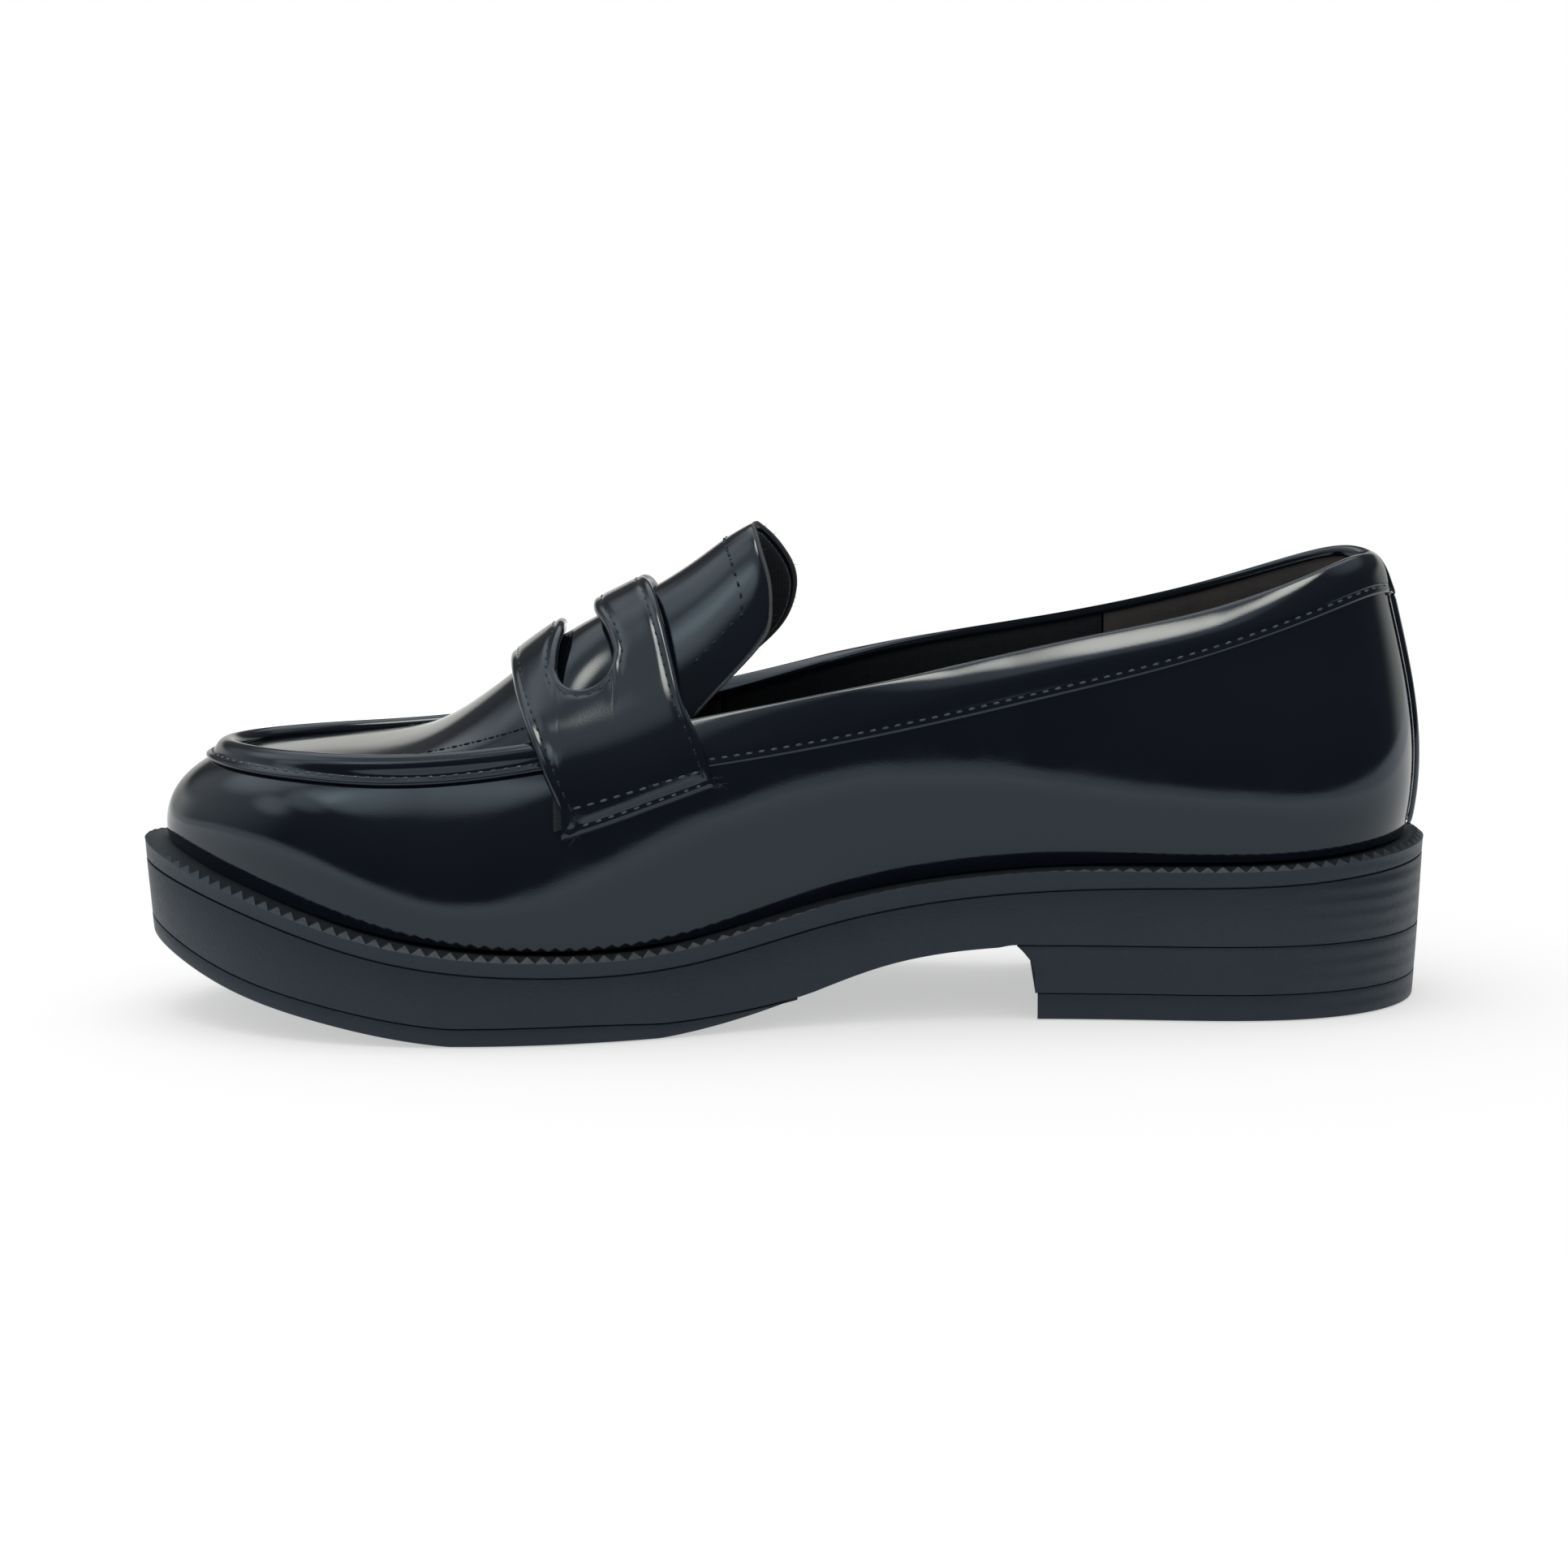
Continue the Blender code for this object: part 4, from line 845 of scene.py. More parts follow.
def build_welt():
    """Welt ring: a row of moulded pyramids on its rim, and inside them a shelf in painted shade,
    darker rubber for the shadow of the upper.
    """
    count = 2 * TOOTH_COUNT
    rim = resample(outline, count, closed=True)
    is_crest = np.arange(count) % 2 == 1
    share = np.interp(rim[:, 0], *TOOTH_SHARE)
    height = TOOTH_HEIGHT * share
    shelf = shelf_height(rim[:, 0])
    valley = shelf - height
    bottom = shelf - WELT_THICKNESS
    lean = SIDE_DRAFT * WELT_THICKNESS
    rows = [(lean + WELT_EDGE, bottom), (lean, bottom + WELT_EDGE), (0.05, valley - 0.15),
            (0.0, valley),
            (np.where(is_crest, TOOTH_BEVEL * share, 0.0), np.where(is_crest, shelf, valley))]
    rows += [(distance, shelf - 0.6 * height) for distance in GUTTER_INSETS]
    rows += [(WELT_WIDTH, shelf), (WELT_WIDTH, bottom)]
    loops = [np.column_stack([inset(rim, distance), z]) for distance, z in rows]
    # rows of the shelf, which take the painted-shade rubber
    shade_painted_rows = [1 if 4 <= j <= 7 else 0 for j in range(len(rows))]
    add_loft("welt_serrated", np.stack(loops, axis=1), [rubber, shaded_shelf_rubber], closed=True,
             nodes=["welt"], slot="sole_rubber", sharp=22, face_materials=shade_painted_rows * count)


def edge_rows(distance, height_at, radius, degrees, side):
    """Rim rows (inset, height of x) round an edge; side is 1 for an upper edge, -1 for a lower."""
    return [(distance + radius * (1 - math.cos(a)),
             lambda x, a=a: height_at(x) - side * radius * (1 - math.sin(a)))
            for a in np.radians(degrees)]


def sole_rows(inset_top, top, inset_bottom, bottom, edge_top=0.3, edge_bottom=0.3):
    """Rim of a sole layer: rounded upper edge, drafted side, rounded lower edge."""
    return (edge_rows(inset_top, top, edge_top, (90, 45, 0), 1)
            + edge_rows(inset_bottom, bottom, edge_bottom, (0, 45, 90), -1))


def plate_stations(curve, first, last, count):
    """Places along a plate, close together at its round ends but not at a straight cut."""
    start, end = curve[:, 0].min(), curve[:, 0].max()
    turn = np.pi / 2 * np.linspace(0, 1, count + 1)
    if first is not None:
        return first + (end - first) * np.sin(turn)
    if last is not None:
        return start + (last - start) * (1 - np.cos(turn))
    return stations(start, end, count)


def add_plate(name, rows, count=150, columns=8, first=None, last=None, extra=(), relief=None,
              cove=None, materials=(rubber,), slot="sole_rubber", **rest):
    """Closed layer of the sole from rim rows (inset, height of x), top to bottom.

    It may be cut off at first or last; cove(z) brings the first cut forward and skews it.
    """
    sides = []
    breast = first
    for distance, height in rows:
        if cove:
            first = breast - cove(float(height(breast)))
        curve = inset(outline, distance)
        x = np.sort(np.concatenate([plate_stations(curve, first, last, count), extra]))
        z = height(x)
        skew = BREAST_SKEW * (1 - (x - x[0]) / (x[-1] - x[0])) if cove else 0.0
        sides.append([np.column_stack([x + shift, at_x(half, x + shift)[:, 0], z])
                      for half, shift in zip(halves(curve), (0.0, skew))])
    top_medial, top_lateral = sides[0]
    low_medial, low_lateral = sides[-1]
    width = np.linalg.norm(low_lateral - low_medial, axis=1)
    share = np.linspace(0, 1, columns + 1)
    loops = [top_medial * (1 - s) + top_lateral * s for s in share]
    loops += [lateral for _, lateral in sides[1:-1]]
    for s in share[::-1]:
        row = low_medial * (1 - s) + low_lateral * s
        if relief is not None:
            row[:, 2] += relief(row[:, 0], row[:, 1], width * min(s, 1 - s))
        loops.append(row)
    loops += [medial for medial, _ in sides[-2:0:-1]]
    return add_loft(name, np.stack(loops, axis=1), materials, slot=slot, **rest)


def level(height):
    return lambda x: np.full(np.shape(x), float(height))


def above_shelf(height):
    return lambda x: shelf_height(x) + height


def tread_relief(x, y, from_edge):
    """Shallow cross grooves in the tread, inside a plain border."""
    inside = smoothstep(from_edge, 6.0, 7.0) * smoothstep(x, -122, -118) * smoothstep(-x, 10, 13)
    wave = np.abs(((x + RIB_CURVE * y * y) / RIB_PITCH) % 1.0 - 0.5) * 2
    return RIB_DEPTH * inside * smoothstep(wave, 0.62, 0.8)


def breast_cove(z):
    """How far the heel's front face stands forward at height z, where it meets the waist."""
    return BREAST_COVE * max(0.0, (z - COVE_BOTTOM) / (HEEL_BLOCK_TOP - COVE_BOTTOM)) ** 2


def build_sole():
    """Midsole, forefoot tread, heel block and top lift."""
    midsole_inset = SIDE_DRAFT * MIDSOLE_DEPTH
    add_plate("midsole_rubber",
              sole_rows(SIDE_DRAFT * WELT_THICKNESS, above_shelf(-WELT_THICKNESS - SOLE_GAP),
                        midsole_inset, midsole_bottom),
              extra=np.linspace(HEEL_BREAST - 10, HEEL_BREAST, 19), nodes=["midsole"], sharp=40)
    add_plate("forefoot_tread",
              sole_rows(midsole_inset, lambda x: tread_top(x) - SOLE_GAP,
                        SIDE_DRAFT * TREAD_DEPTH, ground_height, edge_bottom=0.5),
              last=TREAD_END, count=170, columns=24, relief=tread_relief,
              nodes=["outsole_forefoot"], sharp=40)
    rows = sole_rows(midsole_inset, level(HEEL_BLOCK_TOP - SOLE_GAP), SIDE_DRAFT * LIFT_DEPTH,
                     level(TOP_LIFT_THICKNESS + SOLE_GAP), 0.15, 0.2)
    cove_rows = [(midsole_inset + SIDE_DRAFT * (HEEL_BLOCK_TOP - z), level(z))
                 for z in range(15, 9, -1)]
    add_plate("heel_block_rubber", rows[:3] + cove_rows + rows[3:], first=HEEL_BREAST, count=70,
              cove=breast_cove, nodes=["heel_block"], sharp=40)
    add_plate("heel_lift_rubber",
              sole_rows(SIDE_DRAFT * LIFT_DEPTH, level(TOP_LIFT_THICKNESS),
                        SIDE_DRAFT * FLOOR_DEPTH, level(0.0), 0.2, 0.4),
              first=HEEL_BREAST + 0.5, count=70, cove=breast_cove, nodes=["heel_top_lift"],
              sharp=40)


def build_sock():
    """Sock lining: a padded sheet with a rounded rim, reaching the linings."""
    rows = edge_rows(SOCK_INSET, above_shelf(SOCK_LEVEL[1]), 0.5, (90, 50, 15), 1)
    rows.append((SOCK_INSET, above_shelf(SOCK_LEVEL[0])))
    add_plate("sock_sheet", rows, count=90, materials=[lining], slot="lining_textile",
              nodes=["sock_lining"])


# ============================================================ upper
def wall_top(ring, collar_drop):
    """Profile position where a wall layer stops, under the bead or inside the collar."""
    share = smoothstep(top_x(ring), *BEAD_TO_COLLAR)
    return below_edge(ring, WALL_TOP_UNDER_BEAD + (collar_drop - WALL_TOP_UNDER_BEAD) * share)


def build_wall():
    """Moccasin wall with its margin turned in under the board."""
    ring = np.arange(RING, dtype=float)
    top = wall_top(ring, WALL_TOP_IN_COLLAR)
    rising = np.concatenate([[0, 0.015, 0.04], np.linspace(0.08, 1, 24)])
    outer = np.stack([wall_layer(ring, t * top, 0.0) for t in rising], axis=1)
    inner = np.stack([wall_layer(ring, t * top, LEATHER) for t in np.linspace(1, 0, 12)], axis=1)
    inner[:, -1, 2] = outer[:, 0, 2] + MARGIN_LEVEL[1] - MARGIN_LEVEL[0]
    plan = inset(outer[:, 0, :2], LASTING_MARGIN)
    margin = [np.column_stack([plan, shelf_height(plan[:, 0]) + z]) for z in MARGIN_LEVEL[::-1]]
    loops = np.concatenate([outer, inner, np.stack(margin, axis=1)], axis=1)
    add_loft("wall_leather", loops, [leather], closed=True, nodes=["moccasin_wall"], sharp=50)


def build_linings():
    """Wall linings: vamp, two quarters and the suede heel grip."""
    front, back = LINING_SPLITS
    near, far = front + LINING_GAP, back - LINING_GAP
    spans = (("vamp_lining_cloth", ring_at(front, True) - RING, ring_at(front), "vamp_lining"),
             ("quarter_cloth_medial", ring_at(near), ring_at(far), "quarter_lining_medial"),
             ("heel_grip_suede", ring_at(back), ring_at(back, True), "heel_lining"),
             ("quarter_cloth_lateral", ring_at(far, True), ring_at(near, True),
              "quarter_lining_lateral"))
    for name, first, last, node in spans:
        is_suede = node == "heel_lining"
        ring = ring_places(first, last, 2.0)
        rise = wall_top(ring, LINING_TOP_IN_COLLAR) - LINING_FOOT
        outer, inner = (np.stack([wall_layer(ring, LINING_FOOT + rise * s, depth)
                                  for s in np.linspace(0, 1, 14)], axis=1)
                        for depth in LINING_LAYER)
        add_sheet(name, inner, outer, [suede if is_suede else lining], nodes=[node],
                  slot="heel_suede" if is_suede else "lining_textile")


def sweep_edge(name, ring, section, **rest):
    """Leather piece swept along the top edge from its section of (drop, depth) pairs."""
    loops = np.stack([near_edge(ring, drop, depth) for drop, depth in section], axis=1)
    return add_loft(name, loops, [leather], subdivide=1, **rest)


def sew_edge(name, ring, drop, depth, **rest):
    """Row of stitches at some distance below the top edge."""
    normals = -wall_frame(ring, below_edge(ring, drop))[2]
    add_stitches(name, near_edge(ring, drop, depth), normals, **rest)


def build_bead():
    """Rolled bead round the apron."""
    ring = ring_places(ring_at(BEAD_REAR, True) - RING, ring_at(BEAD_REAR))
    sweep_edge("apron_bead", ring, BEAD_SECTION, nodes=["apron_piping"])
    sew_edge("bead_stitches", ring, BEAD_STITCH, -1.0)


def collar_section(x):
    """Collar band: sewn lower edge, plain face, a face that rolls in, and the turned rim."""
    height = band_height(x)
    low, high = np.interp(x, *COLLAR_LEAN_LOW), np.interp(x, *COLLAR_LEAN_HIGH)
    leans = [np.radians(low + (high - low) * share) for share in (0.0, 0.5, 1.0)]
    step = COLLAR_SLOPE / len(leans)
    falls = np.cumsum([step * np.cos(lean) for lean in leans], axis=0)
    reaches = np.cumsum([step * np.sin(lean) for lean in leans], axis=0)
    face = COLLAR_THICKNESS
    fall, rim = falls[-1] + 0.25, reaches[-1] - face
    section = [(height, -0.1), (height - 0.05, -0.65 * face), (height - 0.3, -0.97 * face),
               (height - 0.9, -1.05 * face), (height - COLLAR_STITCH, -0.82 * face),
               (height - 2.4, -1.05 * face), (fall + 1.3, -face), (fall + 0.3, 0.03 - face)]
    section += [(fall - f, r - face) for f, r in zip(falls[:-1], reaches[:-1])]
    section += [(0.3, rim), (0.08, rim + 0.3), (-0.05, rim + 0.8), (-0.1, rim + 1.4),
                (-0.1, (rim + 4.6) / 2)]
    return section + COLLAR_LINING_EDGE


def build_collar():
    """Band round the foot opening, sewn along its lower edge as far as the heel tab."""
    ring = ring_places(ring_at(COLLAR_FRONT), ring_at(COLLAR_FRONT, True))
    sweep_edge("collar_band", ring, collar_section(top_x(ring)), nodes=["topline_band"])
    ring = ring_places(ring_at(COLLAR_FRONT), FINE - 14)
    for name, ring in (("collar_stitches_medial", ring),
                       ("collar_stitches_lateral", (RING - ring)[::-1])):
        sew_edge(name, ring, band_height(top_x(ring)) - COLLAR_STITCH, -0.85 * COLLAR_THICKNESS,
                 length=1.9, thickness=0.45)


def heel_ring(half):
    """The wall sections round the middle of the heel."""
    return np.arange(FINE - half, FINE + half + 1, dtype=float)


def build_backstay():
    """Strip down the middle of the heel, and the tab over its top."""
    ring = heel_ring(8)
    foot = 0.02
    rise = below_edge(ring, BACKSTAY_TOP) - foot
    frames = [wall_frame(ring, foot + rise * s) for s in np.linspace(0, 1, 20)]
    base = np.stack([point for point, _, _ in frames], axis=1)
    normals = -np.stack([inward for _, _, inward in frames], axis=1)
    side = np.vstack([resample(base[0], 200), resample(base[-1], 200)])
    inner, edge, face = BACKSTAY_FACES
    height = edge + (face - edge) * rounded(distance_to(base, side), BACKSTAY_ROUND)[..., None]
    add_sheet("backstay_leather", base + normals * height, base + normals * inner, [leather],
              nodes=["backstay_strip"], subdivide=1)
    sweep_edge("heel_tab_leather", heel_ring(9), TAB_SECTION, nodes=["heel_tab"])


# ============================================================ apron and tongue
tongue_end = profile(TONGUE_END)


def bend(piece):
    """Bake the piece's placement into its mesh."""
    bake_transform(piece)


def instep_grid():
    """Grid over the whole instep piece: apron, then the narrower tongue."""
    u = np.linspace(-1, 1, 33)
    u = np.sign(u) * np.abs(u) ** 0.85
    turn = np.pi / 2 * np.linspace(0, 1, 70)
    apron = APRON_FRONT + (TONGUE_START - APRON_FRONT) * (1 - np.cos(turn)) ** 0.8
    back = np.linspace(0, 1, 17)[1:, None]
    x = np.vstack([np.tile(apron[:, None], (1, len(u))),
                   TONGUE_START + (tongue_end(u) - TONGUE_START) * back])
    narrow = smoothstep(x, *NARROWING)
    side = APRON_INSET + (TONGUE_INSET - APRON_INSET) * narrow
    return u, x, arch_at(x, u[None, :], side, TONGUE_DROP * narrow)


def build_instep():
    """One piece of leather from the toe to the tongue's free end."""
    u, x, grid = instep_grid()
    normals = grid_normals(grid)
    edge = np.vstack([resample(grid[:, 0], 500), resample(grid[:, -1], 500),
                      resample(grid[0], 60)])
    fall = APRON_EDGE[0] * (1 - rounded(distance_to(grid, edge), APRON_EDGE[1]))
    bend(add_sheet("apron_and_tongue", grid - normals * fall[..., None],
                   grid - normals * LEATHER, [leather, raw_edge], body=None,
                   nodes=["apron", "tongue"], subdivide=1))
    add_tongue_lining(u, x[-1])
    add_tongue_stitches()
    add_tongue_edge()
    add_plug_stitches()


def add_tongue_lining(u, end):
    """Cloth under the tongue, from below the strap to just short of the free end."""
    start = profile(TONGUE_LINING_START)(u ** 2)
    x = start + (end - TONGUE_LINING_SHORT - start) * np.linspace(0, 1, 9)[:, None]
    base = arch_at(x, u[None, :], TONGUE_INSET, TONGUE_DROP)
    outer, inner = (base - grid_normals(base) * depth for depth in TONGUE_LINING_LAYER)
    bend(add_sheet("tongue_lining_cloth", outer, inner, [lining], body=None,
                   nodes=["tongue_lining"], subdivide=1, slot="lining_textile"))


def add_tongue_stitches():
    """Sewn row that follows the tongue's free edge."""
    across = np.linspace(-0.93, 0.93, 90) * TONGUE_HALF_ARC
    x = tongue_end(across / TONGUE_HALF_ARC)
    slope = np.gradient(x, across)
    step = TONGUE_STITCH / np.sqrt(1 + slope ** 2)
    path, normals = tongue_frame(x - step, (across + step * slope) / TONGUE_HALF_ARC)
    bend(add_stitches("tongue_stitches", path, normals, body=None, sunk=0.1,
                      material=shaded_thread_copy))


def add_tongue_edge():
    """Raw cut edge of the tongue, with a few loose fibres."""
    u = np.linspace(-0.96, 0.96, 160)
    edge, normals = tongue_frame(tongue_end(u), u)
    outwards = unit(edge - tongue_frame(tongue_end(u) - 3.0, u)[0])
    bend(add_cord("tongue_raw_edge", edge - normals * 0.45, 0.42, [raw_edge], body=None))
    picked = np.random.default_rng(5).integers(0, len(u), 70)
    bend(add_fibres("tongue_edge_fibres", edge[picked] - normals[picked] * 0.4,
                    outwards[picked], 6, (0.4, 1.3), body=None))


def add_plug_stitches():
    """Two short rows that end beside the strap, inside the bead."""
    x = np.linspace(-84, -50, 60)
    for name, side in (("plug_stitches_medial", -1), ("plug_stitches_lateral", 1)):
        u = side * (1 - PLUG_STITCH)
        surface = np.stack([arch_at(x, u + d, APRON_INSET) for d in (-0.02, 0, 0.02)])
        add_stitches(name, surface[1], grid_normals(surface)[1], thickness=0.42,
                     material=shaded_thread_copy)


# ============================================================ saddle strap
strap_front, strap_rear = profile(STRAP_FRONT), profile(STRAP_REAR)
slot_front, slot_rear = profile(SLOT_FRONT), profile(SLOT_REAR)


def strap_row(x, run):
    """Points over the apron and down both walls at one x, evenly spaced over the apron."""
    top = STRAP_TOP_SHARE
    arch = arch_at(np.full(301, x), np.linspace(-1, 1, 301))
    length = run_along(arch)
    row = np.empty((len(run), 3))
    on_top = np.abs(run) <= top
    row[on_top] = sample(arch, length / length[-1] * 2 - 1, run[on_top] / top)
    depth = float(profile(STRAP_DEPTH)(x))
    for lateral in (False, True):
        picked = ~on_top & ((run > 0) == lateral)
        drops = (np.abs(run[picked]) - top) / (1 - top) * depth
        row[picked] = near_edge(np.full(len(drops), ring_at(x, lateral)), drops, 0.0)
    return row


def strap_surface():
    """Grid of the strap's base: x places, runs -1 (medial end) .. 1 (lateral end), points."""
    x_places = np.arange(-66.0, -6.0, 1.5)
    run = np.linspace(-1, 1, 161)
    grid = np.array([strap_row(x, run) for x in x_places])
    size = np.abs(run)
    lift = np.where(size < STRAP_TOP_SHARE, STRAP_LIFT_ON_APRON, STRAP_LIFT_ON_WALL)
    lift = lift + (STRAP_LIFT_AT_EDGE - lift) * bell(size, STRAP_TOP_SHARE, STRAP_BRIDGE)
    lift -= (STRAP_LIFT_ON_WALL - STRAP_LIFT_AT_END) * smoothstep(size, *STRAP_END_TAPER)
    grid = grid + grid_normals(grid) * lift[None, :, None]
    for _ in range(20):
        grid[:, 1:-1] = grid[:, 1:-1] / 2 + (grid[:, 2:] + grid[:, :-2]) / 4
    return x_places, run, grid


def on_strap(surface, x, run):
    """Points and outward normals of the strap's base at (x, run)."""
    x_places, runs, grid = surface
    fx = np.clip(np.interp(x, x_places, np.arange(len(x_places))), 0, len(x_places) - 1.001)
    fr = np.clip(np.interp(run, runs, np.arange(len(runs))), 0, len(runs) - 1.001)
    i, j = np.floor(fx).astype(int), np.floor(fr).astype(int)
    a, b = (fx - i)[..., None], (fr - j)[..., None]

    def mixed(values):
        return ((values[i, j] * (1 - a) + values[i + 1, j] * a) * (1 - b)
                + (values[i, j + 1] * (1 - a) + values[i + 1, j + 1] * a) * b)

    return mixed(grid), mixed(grid_normals(grid))


def edge_shares(length, count):
    """Shares across a band of the given width, close together along both edges."""
    fine = np.array([0, 0.35, 0.8, 1.4, 2.0, 2.6, 3.3]) / length
    middle = np.linspace(fine[-1], 1 - fine[-1], count + 1)[1:-1]
    return np.concatenate([fine, middle, 1 - fine[::-1]])


def strap_runs():
    """Runs of the strap's mesh rows, close together round the slot's ends and at both ends."""
    after_slot = SLOT_END + np.array([0.007, 0.015, 0.026, 0.038, 0.05, 0.065])
    half = np.concatenate([np.linspace(0, SLOT_END, 22), after_slot,
                           np.linspace(after_slot[-1], 1 - 0.062, 11)[1:],
                           1 - np.array([0.048, 0.037, 0.026, 0.015, 0.007, 0.0])])
    return np.concatenate([-half[:0:-1], half])


def strap_pattern():
    """Strap mesh in (x, run), the two mesh columns beside the slot, and the slot's rows."""
    run = strap_runs()
    size = np.abs(run)
    front, rear = strap_front(size), strap_rear(size)
    near, far = slot_front(np.minimum(size, SLOT_END)), slot_rear(np.minimum(size, SLOT_END))
    middle = (1 - np.cos(np.pi * np.linspace(0, 1, 13)))[1:-1] / 2
    bands = ((front, near, edge_shares(10.0, 2)), (near, far, middle),
             (far, rear, edge_shares(12.0, 3)))
    x = np.array([one * (1 - s) + two * s for one, two, shares in bands for s in shares])
    runs = np.tile(run, (len(x), 1))
    first = len(bands[0][2])
    outside = size >= SLOT_END - 1e-9
    for k, s in enumerate(middle, start=first):
        bow = SLOT_BOW * np.sqrt(1 - (2 * s - 1) ** 2)
        moved = SLOT_END + bow + (size - SLOT_END) / (1 - SLOT_END) * (1 - SLOT_END - bow)
        runs[k, outside] = (np.sign(run) * moved)[outside]
    slot_rows = [j for j in range(len(run) - 1) if max(size[j], size[j + 1]) <= SLOT_END + 1e-9]
    return x, runs, (first - 1, first + len(middle)), slot_rows


def border(grid, long_count, short_count):
    """Dense points along the four sides of a grid."""
    return np.vstack([resample(grid[0], long_count), resample(grid[-1], long_count),
                      resample(grid[:, 0], short_count), resample(grid[:, -1], short_count)])


def build_strap():
    """Saddle strap: turned edges, a sewn row along every edge, and the slot."""
    surface = strap_surface()
    x, runs, (cut_first, cut_last), slot_rows = strap_pattern()
    base, out = on_strap(surface, x, runs)
    slot = base[cut_first:cut_last + 1, slot_rows[0]:slot_rows[-1] + 2]
    distance = np.minimum(distance_to(base, border(base, 900, 200)),
                          distance_to(base, border(slot, 500, 120)))
    thick = STRAP_HALF_THICKNESS * rounded(distance, STRAP_ROUND)
    pulled = STITCH_GROOVE * bell(distance, STRAP_STITCH, 0.5)

    def exists(i, j):
        return not (cut_first <= i < cut_last and j in slot_rows)

    add_sheet("saddle_strap_leather", base + out * (STRAP_MIDDLE + thick - pulled)[..., None],
              base + out * (STRAP_MIDDLE - thick)[..., None], [leather], exists=exists,
              nodes=["saddle_strap"], subdivide=1)
    add_strap_stitches(surface)
    add_corner_fibres(surface)


def slot_stitch_row():
    """Closed row (x, run) round the slot."""
    straight = np.linspace(-SLOT_END, SLOT_END, 160)
    arc = np.linspace(0, np.pi, 60)
    low = float(slot_front(SLOT_END)) - STRAP_STITCH
    high = float(slot_rear(SLOT_END)) + STRAP_STITCH
    x, run = [], []
    for sign, edge in ((-1, slot_front), (1, slot_rear)):
        x += [edge(np.abs(straight)) + sign * STRAP_STITCH,
              (low + high) / 2 + (high - low) / 2 * sign * np.cos(arc)]
        run += [-sign * straight,
                -sign * (SLOT_END + (SLOT_BOW + SLOT_STITCH_REACH) * np.sin(arc))]
    return np.concatenate(x), np.concatenate(run)


def add_strap_stitches(surface):
    """Rows along both edges, across both ends (twice) and round the slot."""
    full = np.linspace(-0.955, 0.955, 300)
    rows = {"front": (strap_front(np.abs(full)) + STRAP_STITCH, full),
            "rear": (strap_rear(np.abs(full)) - STRAP_STITCH, full)}
    for number, back in enumerate(END_STITCH_RUNS, start=1):
        for side, sign in (("medial", -1), ("lateral", 1)):
            x = np.linspace(float(strap_front(back)) + STRAP_STITCH,
                            float(strap_rear(back)) - STRAP_STITCH, 60)
            rows[f"end_{side}_{number}"] = (x, np.full(60, sign * back))
    rows["slot"] = slot_stitch_row()
    for label, (x, run) in rows.items():
        base, out = on_strap(surface, x, run)
        groove = 0.0 if label.endswith("2") else STITCH_GROOVE
        height = STRAP_MIDDLE + STRAP_HALF_THICKNESS - 0.04 - groove
        add_stitches(f"strap_stitches_{label}", base + out * height, out,
                     material=thread if label.startswith("end") else shaded_thread_copy)


def add_corner_fibres(surface):
    """Frayed fibres at the strap's four corners."""
    random = np.random.default_rng(11)
    roots, outwards = [], []
    for edge, along in ((strap_front, -0.3), (strap_rear, 0.6)):
        for sign in (-1, 1):
            run = sign * (1 - 0.06 * random.random(CORNER_FIBRES) ** 1.5)
            x = edge(np.abs(run)) + random.normal(0, 0.5, CORNER_FIBRES)
            foot, out = on_strap(surface, x, run)
            roots.append(foot + out * STRAP_MIDDLE)
            outwards.append(0.5 * out + np.array([along, 0.0, -0.5]))
    add_fibres("strap_corner_fibres", np.concatenate(roots), np.concatenate(outwards), 12)


# ============================================================ carried-over CAD nodes
def paint_hidden_nodes():
    """Procedural finishes for the CAD nodes that stay as they are."""
    board = speckled("fibre_board", (0.28, 0.19, 0.12), (0.42, 0.30, 0.20), 700.0, 0.85)
    foam = speckled("insole_foam", (0.20, 0.20, 0.19), (0.30, 0.30, 0.29), 1500.0, 0.95)
    cork = speckled("cork_filler", (0.22, 0.12, 0.06), (0.38, 0.24, 0.13), 500.0, 0.9)
    steel = speckled("spring_steel", (0.40, 0.40, 0.42), (0.55, 0.55, 0.57), 900.0, 0.3, 1.0)
    finishes = {"bottom_filler": cork, "shank": steel, "insole_board": board,
                "insole_foam": foam, "toe_puff": board, "heel_counter": board,
                "apron_lining": lining, "strap_backing": lining}
    for number in range(1, 6):
        finishes[f"heel_nail_{number}"] = steel
    for node, material in finishes.items():
        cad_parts[node].data.materials.clear()
        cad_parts[node].data.materials.append(material)


# ============================================================ studio
DOME_RADIANCE = 0.62            # even light on everything that doesn't mirror
ROOM_RADIANCE = (0.09, 0.22)    # at the horizon and overhead
ROOM_TINT = (0.97, 1.0, 1.03)
ROOM_LIGHTS = [                 # azimuth, elevation, core and rim radius in degrees, radiance
    (-95, 50, 3, 26, 1.15),     # window on the toe side, and its glow on the ceiling
    (-95, 28, 10, 46, 0.55),
    (-35, 66, 8, 26, 0.75),
    (-26, 47, 2, 12, 1.5),
    (-64, 28, 0, 13, 1.0),      # lamps seen in the toe
    (-47, 42, 0, 14, 1.1),
    (-38, 50, 0, 10, 0.8),
    (100, 55, 6, 26, 0.6),      # seen in the heel, and along the lateral side
    (180, 62, 14, 34, 1.4)]
OVERHEAD_LAMP = (20, 81, 5, 14, 10.0)
LAMP_TINT = (1.25, 1.06, 0.9)
SWEEP_RADIANCE = 0.71           # white sweep behind the shoe
SWEEP_TOP = (0.16, 0.30)        # heights where it fades out; 0 is the horizon, 1 overhead
SWEEP_TINT = (1.0, 1.0, 0.93)
FLOOR_HALF = 0.6                # metres
FLOOR_GLOW = (0.5, 0.8)         # beside the shoe, where it keeps the shadows pale, and far off
FLOOR_GLOW_SPAN = (0.25, 0.5)   # metres from the shoe
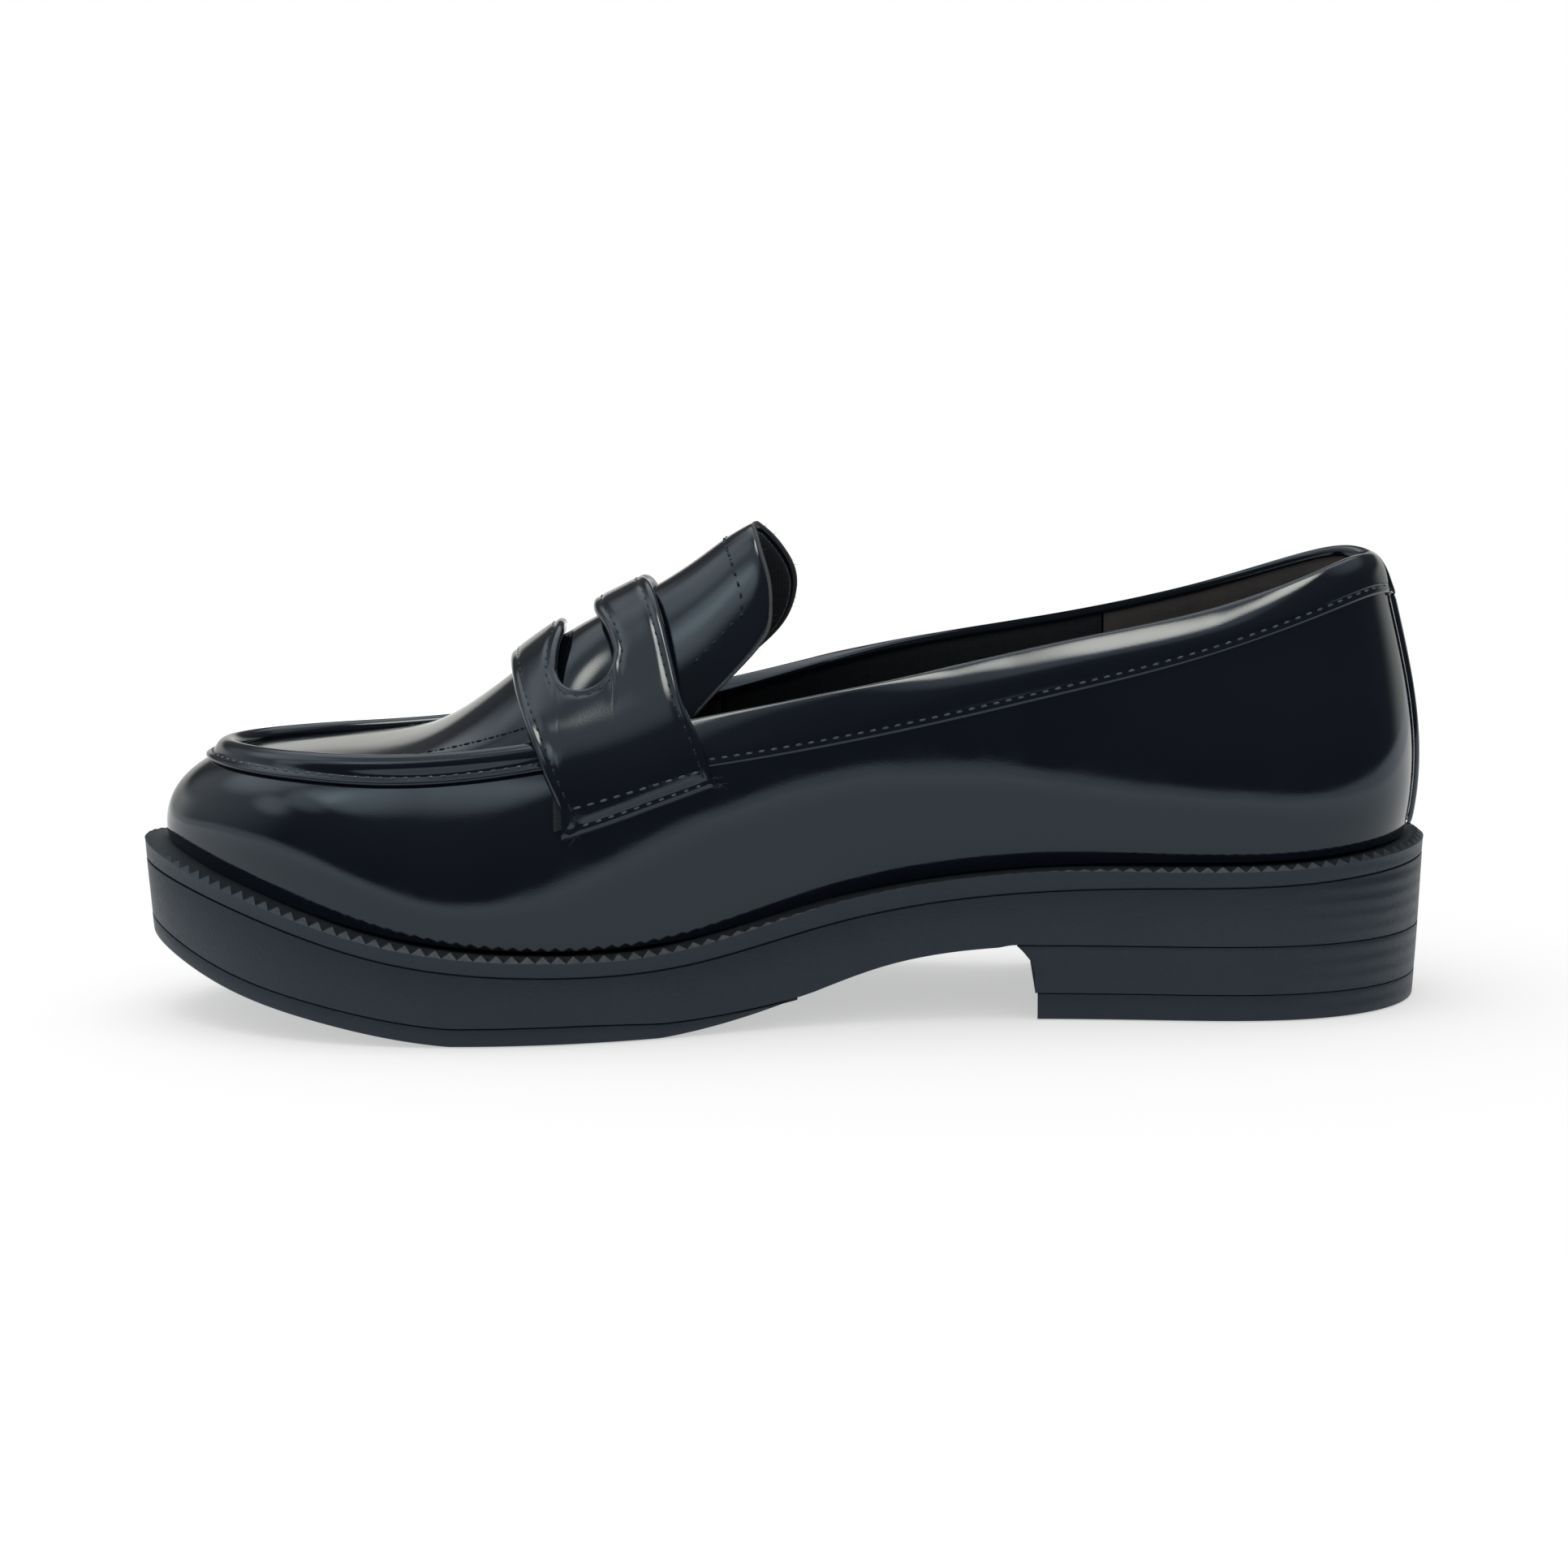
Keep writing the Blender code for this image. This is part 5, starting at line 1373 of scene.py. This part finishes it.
CAMERA_PLACE = (-0.0070, -0.800, 0.175)
CAMERA_AIM = (0.0, 0.0, 0.047)
CAMERA_ROLL = 0.8               # degrees
LENS = 85.3


def build_floor():
    """Plain pale floor that glows a little, so that it joins the white background."""
    mesh = bpy.data.meshes.new("floor")
    corners = [(x * FLOOR_HALF, y * FLOOR_HALF, 0)
               for x, y in ((-1, -1), (1, -1), (1, 1), (-1, 1))]
    mesh.from_pydata(corners, [], [(0, 1, 2, 3)])
    material, tree, shader, place = new_material("floor", (0.6, 0.6, 0.6), 0.9)
    distance = vector_node(tree, "LENGTH", {0: place}, "Value")
    glow = span(tree, distance, *FLOOR_GLOW, *FLOOR_GLOW_SPAN)
    set_inputs(tree, shader, {"Specular IOR Level": 0.0, "Emission Color": (1, 1, 1, 1),
                              "Emission Strength": glow})
    mesh.materials.append(material)
    floor = bpy.data.objects.new("floor", mesh)
    floor.location.z = -0.0002
    bpy.context.scene.collection.objects.link(floor)


def smooth_span(tree, value, start, end, low, high):
    """Smooth change from low to high as value goes from start to end."""
    result = span(tree, value, low, high, start, end)
    result.node.interpolation_type = "SMOOTHSTEP"
    return result


def spot(tree, direction, azimuth, elevation, core, rim, radiance):
    """Round soft light; azimuth 0 is the camera's side and 90 the heel's."""
    a, e = math.radians(azimuth), math.radians(elevation)
    centre = (math.sin(a) * math.cos(e), -math.cos(a) * math.cos(e), math.sin(e))
    nearness = vector_node(tree, "DOT_PRODUCT", {0: direction, 1: centre}, "Value")
    return smooth_span(tree, nearness, math.cos(math.radians(rim)),
                       math.cos(math.radians(core)), 0.0, radiance)


def mirrored_room(tree):
    """What the leather reflects: a dim room with soft lights, a lamp and a white sweep."""
    direction = add_node(tree, "TexCoord").outputs["Generated"]
    axes = add_node(tree, "SeparateXYZ", {"Vector": direction}).outputs
    room = smooth_span(tree, axes["Z"], 0.0, 1.0, *ROOM_RADIANCE)
    for light in ROOM_LIGHTS:
        room = math_node(tree, "ADD", room, spot(tree, direction, *light))
    ground = smooth_span(tree, axes["Z"], -0.03, 0.0, 1.0, 0.0)
    above = math_node(tree, "SUBTRACT", 1.0, ground)
    room = math_node(tree, "ADD", math_node(tree, "MULTIPLY", room, above), ground)
    sweep = math_node(tree, "MULTIPLY", smooth_span(tree, axes["Z"], *SWEEP_TOP, 1.0, 0.0),
                      smooth_span(tree, axes["Y"], 0.2, 0.6, 0.0, SWEEP_RADIANCE))
    sweep = math_node(tree, "MULTIPLY", sweep, above)
    seen = vector_node(tree, "SCALE", {0: ROOM_TINT, "Scale": room})
    for tint, strength in ((LAMP_TINT, spot(tree, direction, *OVERHEAD_LAMP)),
                           (SWEEP_TINT, sweep)):
        tinted = vector_node(tree, "SCALE", {0: tint, "Scale": strength})
        seen = vector_node(tree, "ADD", {0: seen, 1: tinted})
    return seen


def build_world():
    """White to the camera, an even dome for soft light, and a room for the leather to mirror."""
    world = bpy.data.worlds.new("studio")
    bpy.context.scene.world = world
    world.use_nodes = True
    tree = world.node_tree
    tree.nodes.clear()
    rays = add_node(tree, "LightPath").outputs
    shown = add_node(tree, "Background", {"Color": (*(DOME_RADIANCE,) * 3, 1)}).outputs[0]
    for ray, colour in (("Is Glossy Ray", mirrored_room(tree)), ("Is Camera Ray", (1, 1, 1, 1))):
        background = add_node(tree, "Background", {"Color": colour}).outputs[0]
        choose = add_node(tree, "MixShader", {"Fac": rays[ray], 1: shown, 2: background})
        shown = choose.outputs["Shader"]
    add_node(tree, "OutputWorld", {"Surface": shown})


def build_softbox():
    """Weak lamp overhead, hidden from reflections."""
    light = bpy.data.lights.new("overhead", "AREA")
    light.shape = "RECTANGLE"
    light.size = 1.2
    light.size_y = 1.0
    light.energy = 5
    softbox = bpy.data.objects.new("overhead", light)
    place = Vector((-0.2, 0.1, 1.2))
    softbox.location = place
    softbox.rotation_euler = (-place).to_track_quat("-Z", "Y").to_euler()
    softbox.visible_glossy = False
    bpy.context.scene.collection.objects.link(softbox)


def build_camera():
    """Long lens, a little above the shoe, facing its inner side."""
    place = Vector(CAMERA_PLACE)
    roll = math.radians(CAMERA_ROLL)
    back = (place - Vector(CAMERA_AIM)).normalized()
    level_right = Vector((0, 0, 1)).cross(back).normalized()
    level_up = back.cross(level_right)
    right = level_right * math.cos(roll) - level_up * math.sin(roll)
    up = level_up * math.cos(roll) + level_right * math.sin(roll)
    camera = bpy.data.cameras.new("camera")
    camera.lens = LENS
    camera.sensor_width = 36.0
    obj = bpy.data.objects.new("camera", camera)
    turn = Matrix((right, up, back)).transposed()
    obj.matrix_world = Matrix.Translation(place) @ turn.to_4x4()
    bpy.context.scene.collection.objects.link(obj)
    bpy.context.scene.camera = obj


def build_studio():
    build_floor()
    build_world()
    build_softbox()
    build_camera()
    bpy.context.scene.view_settings.view_transform = "Standard"
    bpy.context.scene.view_settings.look = "None"


build_welt()
build_sole()
build_sock()
build_wall()
build_linings()
build_bead()
build_collar()
build_backstay()
build_instep()
build_strap()
paint_hidden_nodes()
build_studio()
